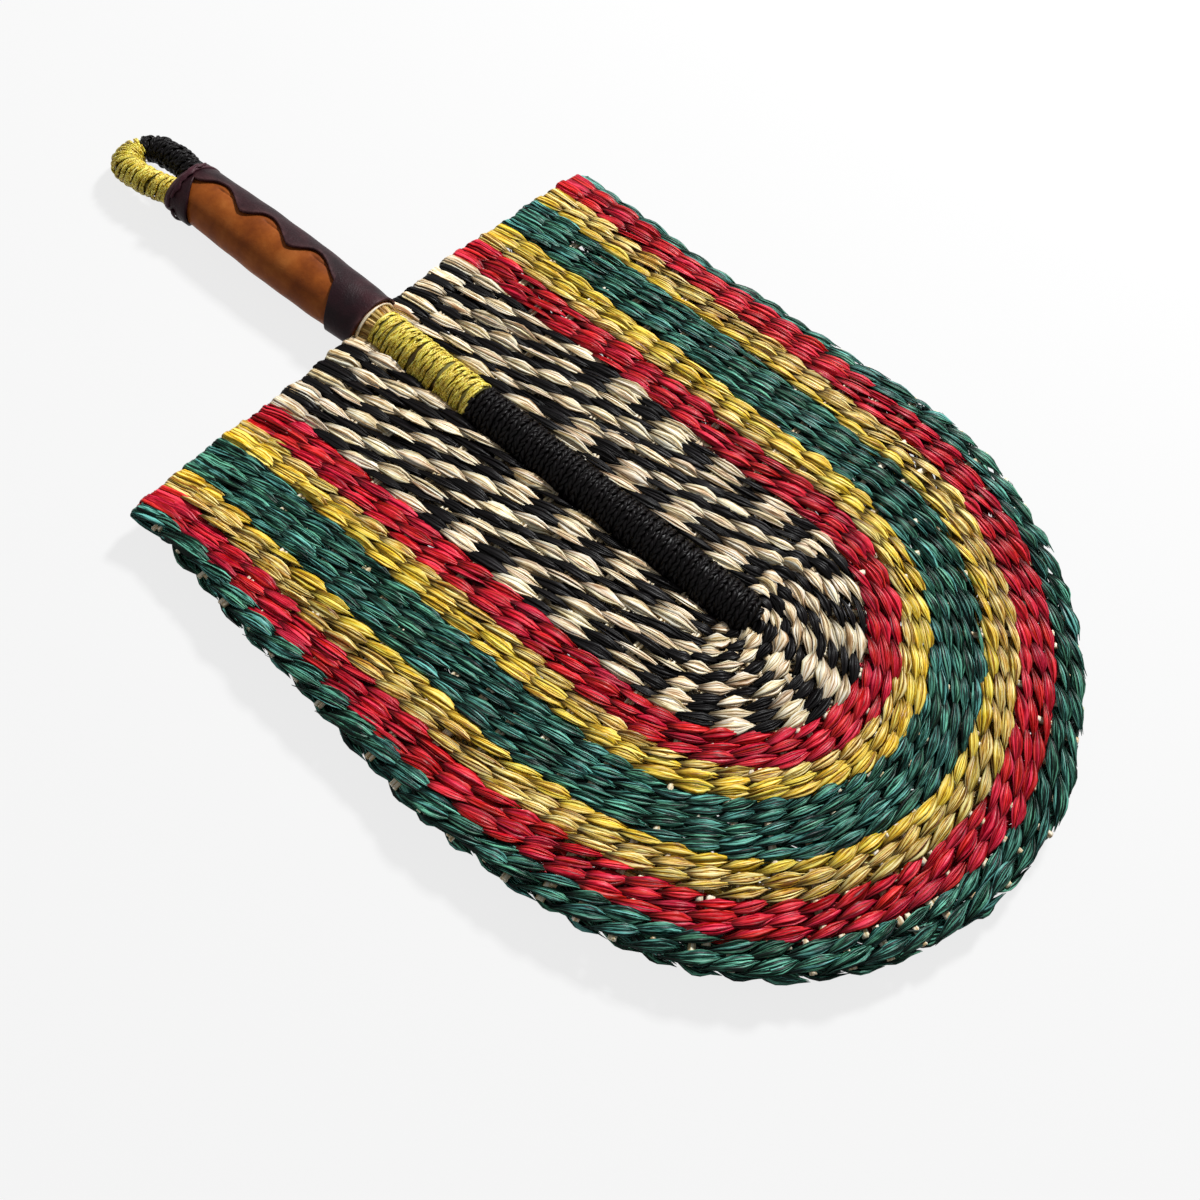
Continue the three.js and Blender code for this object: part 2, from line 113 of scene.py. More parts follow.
# Heights and lengths of its unevenness across, along and out of the blade, some with a phase
SWAY_X, RIPPLE_X = (0.5, 31, 0.7), (0.35, 13, 40)
SWAY_Y, RIPPLE_Y = (0.8, 27, 1.1), (0.4, 11, 50)
WARP_Z, RIPPLE_Z = (0.7, 48, 0.4, 57, 1.2), (0.35, 21, 33)

# Stitches: shape, reach as a share of the way to the next straw, and the ranges they vary over
STITCH_LIFT = 1.2
STITCH_SEAT = 0.2
STITCH_SLANT = 0.52
STITCH_TILT = 0.4
STITCH_PEAK = 0.3
STITCH_BELLY = 0.98
BACK_STITCH_BELLY = 1.5
STITCH_STATIONS = 9
FIELD_REACH, FIELD_ARC_REACH = 0.98, 0.8
BAND_REACH, BAND_ARC_REACH = 0.84, 0.76
FIELD_TAPER, BAND_TAPER = 1.2, 1.55
EDGE_STITCH = 10.0
BACK_EDGE_STITCH = 5.0
REACH_RANGE = (0.88, 1.1)
SLANT_RANGE = (0.6, 1.3)
LIFT_RANGE = (0.8, 1.2)
BELLY_RANGE = (0.84, 1.12)
STITCH_SHIFT, STITCH_SIDE_SHIFT, STITCH_BOW, STITCH_LEAN = 0.4, 0.25, 0.3, 0.32
TUCK_POWER = 1.5

# Strand ends folded over the open edge: levels and widths from the tip to the turn
FOLD_RADIUS = 1.3
FOLD_LENGTH = 15.0
FOLD_SLANT = 0.35
FOLD_FIBRES = 5
FOLD_LEVELS = (0.3, 0.8, 1.1, 1.2, 1.2, 1.1, 1.0)
FOLD_TAPER = (0.1, 0.5, 0.8, 0.95, 1.0, 1.0, 1.0)
FOLD_TURN_STATIONS, FOLD_BACK_STATIONS = 7, 5
FOLD_LENGTH_RANGE = (0.85, 1.15)
FOLD_WIDTH_RANGE = (0.95, 1.15)
FOLD_SHIFT_RANGE = (-0.9, 0.5)

# Fibres of a strand
FIBRES = 6
FIBRE_SIDES = 5
FIBRE_THICKNESS = 0.4
FIBRE_LEAST_WIDTH = 0.14
FIBRE_OVERLAP = 2.2
FIBRE_SPAN = 0.78
FIBRE_UNEVEN_ENDS = 2.2
FIBRE_WIDTH_SPREAD = 0.25
STRAND_CROWN = 0.11
TIP_SPREAD = 0.9
TINT_SPREAD = 0.16

# Straws that carry the rows
STRAW_THICKNESS = 1.8
STRAW_STATIONS, STRAW_SIDES = 16, 10
STRAW_WAVE, STRAW_RIDGE = 0.15, 0.15
STRAW_SQUARENESS = 0.8
STRAW_OVERLAP = 0.8
CROSS_STRAW_SHIFT = 0.75
CROSS_STRAW_ROOT = 0.7
CROSS_STRAW_WIDTHS, TIP_STRAW_WIDTHS = (1.3, 1.7), (2.2, 3.0)
CROSS_STRAW_ENDS, TIP_STRAW_ENDS = (-0.8, 1.2), (-0.5, 1.0)

# Each band's name, and for each of its rows the straws that it passes round the end
BANDS = [
    ("field_row", [7, 7, 9, 9, 11, 11, 13, 13, 13]),
    ("inner_red_row", [15, 15, 15]),
    ("inner_yellow_row", [18, 18, 18]),
    ("inner_green_row", [22, 22, 22, 22, 22]),
    ("outer_yellow_row", [26, 26, 26]),
    ("outer_red_row", [30, 30, 30]),
    ("rim_green_row", [32, 32]),
]
BRIGHT_ROWS = ["inner_yellow_row_2", "inner_yellow_row_3", "outer_yellow_row_1"]
# Field rows that start with black in front at the open edge, and those that change over later
FIELD_BLACK_FIRST = [2, 4, 6, 8]
FIELD_SWAPPED = [2, 8]
SWAP_STRAW = 9
FIELD_FULLNESS = (1.16, 0.94)

# Spine
TIP_REACH = 10.8
TIP_ROUNDING = 7.0
CORD_PITCH = 2.1
WIND_STEPS = 48
UNDERLAY_DEPTH = 1.1
BLACK_CORD_DEPTH, YELLOW_CORD_DEPTH = 0.8, 0.7
STALK_COUNT = 30
STALK_RADIUS = 0.85
STALK_TIP, STALK_SHOULDER = -6.0, -4.0
STALK_REACH = (3.0, 5.4, 6.2, 7.6)
STALK_WIDENING = 1.14

# Grip
HANDLE_LEAN = 2.0
GRIP_CORE = (9.8, 7.5)
GRIP_BULGE = 1.4
LEATHER = 1.0
BLADE_COLLAR, LOOP_COLLAR = 19.0, 4.0
WINDOW_START, WINDOW_END = GRIP_START + BLADE_COLLAR, GRIP_END - LOOP_COLLAR
WINDOW_SKEW = 0.7
FARTHEST_SKEW = -0.35
SCALLOPS = 3
SCALLOP_LEAN = 0.8
SCALLOP_ROUNDNESS = 1.8
CUSP_ANGLE = 84.0
LOBE_ANGLE = 112.0
GRIP_ROWS, WINDOW_COLUMNS, OVERLAY_COLUMNS = 231, 121, 71
EDGE_BAND_WIDTH = 1.2
DENT, COLLAR_DENT, COLLAR_DENT_LENGTH = 0.14, 0.35, 5
SLIT_DEPTH = 0.5
SLIT_LENGTH = 11.0
SLIT_WIDTH = 0.32
SLIT_SHARE = 0.4
SLIT_ANGLE = 100.0
MOUTH_STRAW_RADIUS = 0.6
MOUTH_STATIONS = 90
TIE_STATIONS, KNOT_STATIONS = 110, 60
KNOT_START, KNOT_END = 28, 128
KNOT_LIFT, KNOT_HALF_WIDTH = 0.5, 1.2

# Hanging loop
LOOP_CORE_RADIUS = 3.5
LOOP_WRAP_RADIUS = 5.1
LOOP_LEG_X = 5.6
LOOP_BEND_RADIUS = 8.3
LOOP_FLARE = 15.0
LOOP_STRAIGHT = 8.0
LOOP_SOCKET = 15.0
LOOP_SAG = 5.0
LOOP_REACH = LOOP_FLARE + LOOP_STRAIGHT + LOOP_BEND_RADIUS + LOOP_WRAP_RADIUS
LOOP_COLOUR_ANGLE = 115.0
LOOP_UNDERLAY = 0.7
LOOP_LEG_STATIONS, LOOP_BEND_STATIONS = 30, 60

# Camera, light and floor
CAMERA_AZIMUTH = 112.41
CAMERA_ELEVATION = 58.57
CAMERA_ROLL = 19.51
CAMERA_TARGET = np.array([32.63, -34.58, 2.0])
CAMERA_DISTANCE = 452.4
CAMERA_LENS = 39.52
CAMERA_SENSOR = 36.0
FLOOR_HALF = 4.0
FLOOR_SHADE = 0.6
FLOOR_ROUGHNESS = 0.9
FLOOR_GLOW = 0.8
SKY_STRENGTH = 0.13


# Small helpers

def unit(vectors):
    return vectors / np.linalg.norm(vectors, axis=-1, keepdims=True)


def soft_power(values, power):
    return np.sign(values) * np.abs(values) ** power


def linear(colour):
    """A colour given in the 0 to 255 values of a picture, as light."""
    parts = np.array(colour) / 255.0
    low = parts / 12.92
    high = ((parts + 0.055) / 1.055) ** 2.4
    return (*np.where(parts <= 0.04045, low, high), 1.0)


def wobble(rng, positions, wavelength, waves=5):
    """A smooth random curve over positions, between about -1 and 1."""
    total = np.zeros_like(positions, dtype=float)
    for _ in range(waves):
        length = wavelength * rng.uniform(0.6, 1.8)
        total += np.sin(2 * np.pi * positions / length + rng.uniform(0, 2 * np.pi))
    return total / math.sqrt(waves) / 1.4


def ring_angles(count):
    return 2 * np.pi * np.arange(count) / count


def radial(angle):
    """Directions out from the handle's middle line."""
    return np.stack([np.cos(angle), 0 * angle, np.sin(angle)], -1)


# Meshes

class Shape:
    """Points, faces and per-point values that gather into one mesh."""

    def __init__(self):
        self.points, self.faces, self.values = [], [], {}
        self.count = 0

    def add(self, points, faces, **values):
        """Adds points, and faces as arrays with one row of point numbers for each face."""
        self.points.append(points)
        self.faces.extend(np.asarray(part) + self.count for part in faces)
        for name, value in values.items():
            self.values.setdefault(name, []).append(np.broadcast_to(value, len(points)))
        self.count += len(points)

    def tube(self, centres, ups, side_offsets, up_offsets, **values):
        """A closed strand: at each centre a ring of points, offset sideways and upwards."""
        along = unit(np.gradient(centres, axis=0))
        sides = unit(np.cross(along, ups))
        ups = np.cross(sides, along)
        rings = (centres[:, None] + sides[:, None] * side_offsets[..., None]
                 + ups[:, None] * up_offsets[..., None])
        stations, ring = side_offsets.shape
        index = np.arange(stations * ring).reshape(stations, ring)
        here, onward = index[:-1], index[1:]
        quads = np.stack([here, np.roll(here, -1, 1), np.roll(onward, -1, 1), onward], -1)
        faces = [quads.reshape(-1, 4), index[:1, ::-1], index[-1:]]
        spread = {name: np.broadcast_to(value, (stations, ring)).ravel()
                  for name, value in values.items()}
        self.add(rings.reshape(-1, 3), faces, **spread)

    def round_tube(self, centres, ups, wide, thick, sides, along, **values):
        """A tube of round or oval section, with its half width and half thickness at each centre."""
        ring = ring_angles(sides)
        self.tube(centres, ups, np.outer(wide, np.cos(ring)), np.outer(thick, np.sin(ring)),
                  along=along[:, None], across=np.cos(ring)[None], **values)

    def bend(self):
        """Bends what is on the handle: it leans to +X beyond the wrap, and the loop sags."""
        for points in self.points:
            run = -points[:, 1]
            points[:, 0] += math.tan(math.radians(HANDLE_LEAN)) * np.maximum(run - YELLOW_WRAP_END, 0)
            points[:, 2] -= LOOP_SAG * (np.maximum(run - GRIP_END, 0) / LOOP_REACH) ** 2
        return self


def piece(name, shape, look, slot, *nodes):
    """Makes one named piece of the fan from a shape and a material, riding on the part."""
    mesh = bpy.data.meshes.new(name)
    points = (np.concatenate(shape.points) + ORIGIN) * MM
    corners = np.concatenate([part.ravel() for part in shape.faces])
    sizes = np.concatenate([np.full(len(part), part.shape[1]) for part in shape.faces])
    mesh.vertices.add(len(points))
    mesh.vertices.foreach_set("co", points.ravel())
    mesh.loops.add(len(corners))
    mesh.loops.foreach_set("vertex_index", corners)
    mesh.polygons.add(len(sizes))
    mesh.polygons.foreach_set("loop_start", np.r_[0, np.cumsum(sizes)[:-1]])
    mesh.polygons.foreach_set("use_smooth", np.ones(len(sizes), bool))
    mesh.update(calc_edges=True)
    for key, parts in shape.values.items():
        layer = mesh.attributes.new(key, "FLOAT", "POINT")
        layer.data.foreach_set("value", np.concatenate(parts).astype(np.float32))
    mesh.materials.append(MATERIALS[look])
    made = bpy.data.objects.new(name, mesh)
    bpy.context.scene.collection.objects.link(made)
    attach(made, "root")
    if nodes:
        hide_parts(*nodes)
    return made


# Materials

class Nodes:
    """A short way to lay out a material's nodes."""

    def __init__(self, name):
        self.material = bpy.data.materials.new(name)
        self.material.use_nodes = True
        self.tree = self.material.node_tree
        self.shader = self.tree.nodes["Principled BSDF"]

    def add(self, kind, **settings):
        node = self.tree.nodes.new(kind)
        for key, value in settings.items():
            setattr(node, key, value)
        return node

    def link(self, source, target):
        self.tree.links.new(source, target)

    def feed(self, source, name):
        """Links a socket to the shader's input of that name."""
        self.link(source, self.shader.inputs[name])

    def value(self, name):
        return self.add("ShaderNodeAttribute", attribute_name=name).outputs["Fac"]

    def math(self, operation, first, second=0.0):
        node = self.add("ShaderNodeMath", operation=operation)
        for socket, value in zip(node.inputs, (first, second)):
            if isinstance(value, (int, float)):
                socket.default_value = value
            else:
                self.link(value, socket)
        return node.outputs[0]

    def between(self, value, low, high, start=0.0, end=1.0):
        """Maps a value from start..end to low..high."""
        node = self.add("ShaderNodeMapRange")
        self.link(value, node.inputs["Value"])
        for key, number in (("From Min", start), ("From Max", end), ("To Min", low), ("To Max", high)):
            node.inputs[key].default_value = number
        return node.outputs["Result"]

    def noise(self, vector, scale, detail=3.0, roughness=0.55):
        node = self.add("ShaderNodeTexNoise")
        self.link(vector, node.inputs["Vector"])
        node.inputs["Scale"].default_value = scale
        node.inputs["Detail"].default_value = detail
        node.inputs["Roughness"].default_value = roughness
        return node.outputs["Fac"]

    def ramp(self, value, stops):
        node = self.add("ShaderNodeValToRGB")
        elements = node.color_ramp.elements
        while len(elements) < len(stops):
            elements.new(0.5)
        for element, (place, colour) in zip(elements, stops):
            element.position, element.color = place, colour
        self.link(value, node.inputs["Fac"])
        return node.outputs["Color"]

    def mix(self, share, first, second):
        """Mixes a linked colour with a second colour, linked or plain."""
        node = self.add("ShaderNodeMix", data_type="RGBA")
        self.link(share, node.inputs["Factor"])
        self.link(first, node.inputs["A"])
        if isinstance(second, tuple):
            node.inputs["B"].default_value = second
        else:
            self.link(second, node.inputs["B"])
        return node.outputs["Result"]

    def bump(self, height, strength, distance, below=None):
        node = self.add("ShaderNodeBump")
        node.inputs["Strength"].default_value = strength
        node.inputs["Distance"].default_value = distance * MM
        self.link(height, node.inputs["Height"])
        if below is not None:
            self.link(below, node.inputs["Normal"])
        return node.outputs["Normal"]


def straw_material(name, dark, middle, light, hue_spread, value_spread, roughness, gloss=0.16):
    """Straw: fine lines along each fibre, strands that differ a little in tone, and painted shade where a
    strand dips into the weave.
    """
    dark, middle, light = (linear(colour) for colour in (dark, middle, light))
    nodes = Nodes(name)
    tint = nodes.value("tint")
    place = nodes.add("ShaderNodeCombineXYZ")
    nodes.link(nodes.math("MULTIPLY", nodes.value("along"), 0.06), place.inputs["X"])
    nodes.link(nodes.value("across"), place.inputs["Y"])
    nodes.link(nodes.math("MULTIPLY", tint, 91.0), place.inputs["Z"])
    fibre = nodes.noise(place.outputs["Vector"], scale=1.6, detail=4.0, roughness=0.62)
    colour = nodes.ramp(fibre, [(0.41, dark), (0.5, middle), (0.59, light)])
    # Painted shade: by the per-point shade value, the colour darkens towards a deep copy of its dark stop.
    painted_shade_share = nodes.between(nodes.value("deep"), 0.0, 0.85)
    colour = nodes.mix(painted_shade_share, colour, tuple(0.15 * part for part in dark[:3]) + (1.0,))
    shade = nodes.add("ShaderNodeHueSaturation")
    nodes.link(colour, shade.inputs["Color"])
    turn = nodes.math("FRACT", nodes.math("MULTIPLY", tint, 7.31))
    nodes.link(nodes.between(turn, 0.5 - hue_spread, 0.5 + hue_spread), shade.inputs["Hue"])
    nodes.link(nodes.between(tint, 1 - value_spread, 1 + value_spread), shade.inputs["Value"])
    nodes.feed(shade.outputs["Color"], "Base Color")
    nodes.feed(nodes.between(fibre, roughness + 0.1, roughness - 0.08), "Roughness")
    nodes.feed(nodes.bump(fibre, strength=0.6, distance=0.2), "Normal")
    nodes.shader.inputs["Specular IOR Level"].default_value = gloss
    return nodes.material


def leather_material(name, dark, middle, light, edge, grain, roughness):
    """Leather: fine grain, soft creases, an uneven dye, and an edge colour in places: lighter wear on the
    dark leathers' edges, a darker band along the tan's edges, and painted shade in the tan's slits.
    """
    dark, middle, light, edge = (linear(colour) for colour in (dark, middle, light, edge))
    nodes = Nodes(name)
    place = nodes.add("ShaderNodeTexCoord").outputs["Object"]
    cloud = nodes.noise(place, scale=75.0, detail=4.0, roughness=0.6)
    colour = nodes.ramp(cloud, [(0.3, dark), (0.52, middle), (0.75, light)])
    creases = nodes.noise(place, scale=240.0, detail=5.0, roughness=0.65)
    # The edge colour is mixed in by the per-point edge value, broken up by the creases: wear, a darker band,
    # and painted shade in the slits.
    wear_and_shade_share = nodes.math("MULTIPLY", nodes.value("edge"), nodes.between(creases, 0.1, 1.0, 0.35, 0.65))
    nodes.feed(nodes.mix(wear_and_shade_share, colour, edge), "Base Color")
    cells = nodes.add("ShaderNodeTexVoronoi", feature="SMOOTH_F1")
    nodes.link(place, cells.inputs["Vector"])
    cells.inputs["Scale"].default_value = 1400.0
    fine = nodes.bump(cells.outputs["Distance"], 0.35 * grain, 0.25)
    nodes.feed(nodes.bump(creases, 0.5 * grain, 0.6, fine), "Normal")
    nodes.feed(nodes.between(creases, roughness + 0.12, roughness - 0.08), "Roughness")
    nodes.shader.inputs["Specular IOR Level"].default_value = 0.1
    return nodes.material


# Dark, middle and light colours, the spread of hue and of brightness, roughness and any other gloss
STRAWS = {
    "cream": ((156, 122, 78), (242, 220, 176), (255, 250, 232), 0.018, 0.18, 0.36),
    "black": ((2, 1, 1), (6, 4, 5), (16, 12, 14), 0.05, 0.4, 0.34, 0.08),
    "red": ((120, 0, 11), (194, 6, 28), (240, 66, 82), 0.006, 0.22, 0.3, 0.1),
    "yellow": ((104, 58, 5), (218, 174, 54), (255, 240, 166), 0.014, 0.24, 0.32),
    "lemon": ((142, 96, 6), (244, 202, 40), (255, 240, 130), 0.012, 0.16, 0.32),
    "green": ((0, 6, 5), (2, 48, 38), (108, 182, 162), 0.035, 0.45, 0.3, 0.085),
    "natural": ((190, 164, 120), (228, 212, 178), (246, 240, 222), 0.01, 0.1, 0.4),
    "stalk": ((108, 76, 28), (184, 148, 74), (226, 202, 136), 0.012, 0.2, 0.38),
    "golden": ((120, 86, 6), (244, 216, 56), (255, 248, 150), 0.014, 0.2, 0.32),
}
# Dark, middle, light and edge colours, the strength of the grain, and roughness
LEATHERS = {
    "tan": ((114, 54, 18), (147, 77, 28), (174, 102, 46), (58, 26, 10), 0.35, 0.42),
    "maroon": ((16, 5, 9), (32, 11, 17), (54, 24, 30), (84, 54, 56), 0.9, 0.44),
    "purple": ((26, 10, 16), (46, 18, 27), (72, 36, 46), (92, 60, 64), 1.0, 0.44),
}
MATERIALS = {name: straw_material(f"{name}_straw", *look) for name, look in STRAWS.items()}
MATERIALS |= {name: leather_material(f"{name}_leather", *look) for name, look in LEATHERS.items()}


# Weave

class Row:
    """One twined row: up the left side, round the end and down the right side."""

    def __init__(self, node, outer, pitch, spokes):
        self.node, self.pitch, self.spokes = node, pitch, spokes
        self.in_field = node.startswith("field_row")
        self.offset = outer - pitch / 2
        self.share = (self.offset - WRAP_RADIUS) / (RIM_RADIUS - WRAP_RADIUS)
        end_run = runs_of(node)[1]
        self.left_run = end_run + np.interp(self.share, [0, 1], EDGE_EXTRA_LEFT)
        self.right_run = end_run + np.interp(self.share, [0, 1], EDGE_EXTRA_RIGHT)
        self.right_start = self.left_run + math.pi * self.offset
        self.length = self.right_start + self.right_run
        edges = self.offset + np.array([-0.5, 0.5]) * pitch
        spreads = [np.diff(np.interp(edges, SWELL_OFFSETS, swell))[0]
                   for swell in (SWELL_LEFT, SWELL_RIGHT)]
        self.width = pitch + max(0.0, *spreads)

    def crossings(self):
        """Distances along the row at which it passes a straw."""
        left = [self.left_run - run for run in reversed(STRAW_RUNS)]
        step = math.pi * self.offset / self.spokes
        end = [self.left_run + (i + 0.5) * step for i in range(self.spokes)]
        right = [self.right_start + run for run in STRAW_RUNS]
        return np.array(left + end + right)

    def turns(self):
        """Half turns of the twined pair at each crossing, counted from the row's left end."""
        turns = np.arange(2 * STRAW_COUNT + self.spokes)
        number = int(self.node.rsplit("_", 1)[1])
        if self.in_field and number in FIELD_BLACK_FIRST:
            turns += 1
        if self.in_field and number in FIELD_SWAPPED:
            turns[STRAW_COUNT - SWAP_STRAW:] += 1
            turns[STRAW_COUNT + self.spokes + SWAP_STRAW:] += 1
        return turns

    def place(self, distance):
        """Points on the row's middle line, its outward normals and its directions."""
        angle = np.pi - np.clip((distance - self.left_run) / self.offset, 0, np.pi)
        normal = np.stack([np.cos(angle), np.sin(angle), np.zeros_like(angle)], -1)
        left = normal[:, 0] < 0
        past = np.where(left, self.left_run - distance, distance - self.right_start)
        run = np.maximum(past, 0)
        whole = np.where(left, self.left_run, self.right_run)
        corner = np.clip(run - whole + CORNER_LENGTH, 0, CORNER_LENGTH) / CORNER_LENGTH
        on_left = DRAW_IN_LEFT * self.share**DRAW_IN_LEFT_POWER * run / whole
        on_right = DRAW_IN_RIGHT * self.share**DRAW_IN_RIGHT_POWER * (run / whole) ** DRAW_IN_RIGHT_RUN_POWER
        draw_in = np.where(left, on_left, on_right)
        flare = np.where(left, FLARE_LEFT, FLARE_RIGHT) * corner**2
        hip = np.where(left, HIP_LEFT, HIP_RIGHT) * np.exp(-((past + HIP_PLACE) / HIP_LENGTH) ** 2)
        on_side = np.clip((past + SWELL_LEAD) / SWELL_EASE, 0, 1)
        swells = (SWELL_LEFT, SWELL_RIGHT, SWELL_END)
        by_side = [np.interp(self.offset, SWELL_OFFSETS, swell) for swell in swells]
        at_end = by_side[2] * normal[:, 1] ** END_POWER
        swell = np.where(left, by_side[0], by_side[1]) * on_side + at_end
        inward = draw_in - swell - self.share**RIM_POWER * (flare + hip)
        points = normal * (self.offset - inward)[:, None]
        points[:, 1] -= run
        direction = np.stack([normal[:, 1], -normal[:, 0], normal[:, 2]], -1)
        return points, normal, direction


def settle(points):
    """Hand weaving is never quite even: shifts points of the blade a little, but not at the spine."""
    x, y, z = points.T
    reach = np.hypot(x, np.maximum(y, 0))
    share = np.clip((reach - SPINE_CLEAR) / SPINE_EASE, 0, 1)
    curl = LEFT_LIFT * np.sin(np.pi * np.clip(-x / RIM_RADIUS, 0, 1)) ** 2
    roll = LEFT_ROLL * np.clip((-y - ROLL_START) / ROLL_EASE, 0, 1)
    curl = curl - roll * np.clip(1 - (RIM_RADIUS + x) / LEFT_ROLL_WIDTH, 0, 1) ** 2

    def sway(shape, where):
        height, length, phase = shape
        return height * np.sin(where / length + phase)

    def ripple(shape, first, second):
        height, first_length, second_length = shape
        return height * np.sin(first / first_length + second / second_length)

    height, x_length, x_phase, y_length, y_phase = WARP_Z
    warp = height * np.sin(x / x_length + x_phase) * np.sin(y / y_length + y_phase)
    return np.stack([
        x + share * (sway(SWAY_X, y) + ripple(RIPPLE_X, y, x)),
        y + share * (sway(SWAY_Y, x) + ripple(RIPPLE_Y, x, y)),
        z + curl + share * (warp + ripple(RIPPLE_Z, x, y)),
    ], -1)


def read_rows():
    rows = []
    inner = WRAP_RADIUS + SEAT
    for band, spokes in BANDS:
        for i, count in enumerate(spokes):
            node = f"{band}_{i + 1}"
            outer = span(node)[1][0] + ROW_GAP / 2
            rows.append(Row(node, outer, outer - inner, count))
            inner = outer
    return rows


def bundle(shape, centres, ups, widths, deep, tint, rng, fibres=FIBRES):
    """A strand along its centres: flat fibres side by side, with uneven tips."""
    along = unit(np.gradient(centres, axis=0))
    sides = unit(np.cross(along, ups))
    ups = np.cross(sides, along)
    travel = np.cumsum(np.r_[0, np.linalg.norm(np.diff(centres, axis=0), axis=1)])
    share = np.linspace(-1, 1, len(centres))
    ring = ring_angles(FIBRE_SIDES) + np.pi / FIBRE_SIDES
    for place in np.linspace(-FIBRE_SPAN, FIBRE_SPAN, fibres):
        across = place * np.maximum(widths / 2, TIP_SPREAD) + rng.normal(0, 0.12)
        crown = STRAND_CROWN * widths * (1 - place**2) + rng.normal(0, 0.2)
        ends = rng.uniform(-FIBRE_UNEVEN_ENDS, FIBRE_UNEVEN_ENDS, 2)
        longer = np.where(share < 0, ends[0], ends[1]) * share**2
        wide = FIBRE_OVERLAP / fibres * widths * (1 + rng.normal(0, FIBRE_WIDTH_SPREAD))
        wide = np.maximum(wide, FIBRE_LEAST_WIDTH)
        thick = np.minimum(FIBRE_THICKNESS, 0.2 + 0.5 * wide)
        # Painted shade: the shade value passed in, plus more on the outer fibres, as a dark outline at the
        # strand's edges.
        shape.tube(
            centres + sides * across[:, None] + ups * crown[:, None] + along * longer[:, None], ups,
            wide[:, None] / 2 * np.cos(ring), thick[:, None] / 2 * np.sin(ring),
            along=(travel + rng.uniform(0, 900))[:, None], across=place * 3 + np.cos(ring)[None],
            deep=deep[:, None] + 0.35 * place**2, tint=np.clip(tint + rng.normal(0, TINT_SPREAD), 0, 1))


def stitch(shape, row, straw, before, after, side, hand, fullness, tint, rng):
    """One stitch over a straw, on the front (side 1) or the back (side -1).

    It is a lens that slants to one hand, or is straight where hand is 0. Its end towards the
    blade's round end lies on top of the next stitch.
    """
    turn = np.linspace(-1, 1, STITCH_STATIONS)
    forward = row.place(np.array([straw]))[2][0, 1]
    distance = straw + np.where(turn < 0, before, after) * turn * rng.uniform(*REACH_RANGE)
    distance = distance + rng.normal(0, STITCH_SHIFT)
    slant = STITCH_SLANT * row.pitch * rng.uniform(*SLANT_RANGE)
    lateral = hand * slant * turn + rng.normal(0, STITCH_SIDE_SHIFT)
    lateral = lateral + rng.normal(0, STITCH_BOW) * (1 - turn**2)
    lift = STITCH_LIFT * rng.uniform(*LIFT_RANGE) * (1 - turn**2)
    height = side * (lift + STITCH_SEAT + STITCH_TILT * forward * turn)
    peak = STITCH_PEAK * forward
    lens = np.abs(turn - peak) / np.where(turn > peak, 1 - peak, 1 + peak)
    belly = (STITCH_BELLY if side > 0 else BACK_STITCH_BELLY) * fullness * rng.uniform(*BELLY_RANGE)
    widths = row.width * belly * (1 - lens ** (FIELD_TAPER if row.in_field else BAND_TAPER))
    points, normal, _ = row.place(distance)
    centres = settle(points + normal * lateral[:, None] + Z * height[:, None])
    ups = side * Z + normal * rng.normal(0, STITCH_LEAN)
    # Painted shade at the stitch's ends where it dives into the weave, most at the end that lies under the
    # stitch before it.
    tucked = np.clip(np.abs(turn) - forward * turn, 0, 1) ** TUCK_POWER
    bundle(shape, centres, ups, widths, tucked, tint, rng)


def fold(shape, row, end, tint, rng):
    """A strand's flat end: from its tip in front it turns over the open edge and in behind."""
    length = FOLD_LENGTH * rng.uniform(*FOLD_LENGTH_RANGE)
    front = length * np.linspace(1.0, 0.2, len(FOLD_LEVELS))
    turn = np.radians(np.linspace(90, -90, FOLD_TURN_STATIONS))
    behind = length * np.linspace(0.25, 1.0, FOLD_BACK_STATIONS)
    full = np.ones(FOLD_TURN_STATIONS)
    level = FOLD_RADIUS * np.array(FOLD_LEVELS)
    taper = np.array(FOLD_TAPER)
    taper = np.r_[taper, full, taper[FOLD_BACK_STATIONS - 1::-1]]
    inward = np.r_[front, FOLD_RADIUS * (1 - np.cos(turn)), behind] + rng.uniform(*FOLD_SHIFT_RANGE)
    height = np.r_[level, FOLD_RADIUS * np.sin(turn), -level[FOLD_BACK_STATIONS - 1::-1]]
    widths = row.width * rng.uniform(*FOLD_WIDTH_RANGE) * taper
    slant = FOLD_SLANT * row.pitch * rng.uniform(*SLANT_RANGE) * (-1 if end else 1)
    lean = slant * np.r_[2 * front / length - 1, -full, -1 - 0.5 * behind / length]
    sway = lean + 0.3 * wobble(rng, inward, 14.0)
    points, normal, direction = row.place(row.length - inward if end else inward)
    outward = direction if end else -direction
    facing_out = np.r_[0 * front, np.cos(turn), 0 * behind]
    facing_up = np.r_[1 + 0 * front, np.sin(turn), -1 + 0 * behind]
    ups = outward * facing_out[:, None] + Z * facing_up[:, None] + normal * rng.normal(0, 0.15)
    centres = settle(points + normal * sway[:, None] + Z * height[:, None])
    # Painted shade towards the fold's thin tips, where they go into the weave.
    bundle(shape, centres, ups, widths, 1 - taper, tint, rng, FOLD_FIBRES)


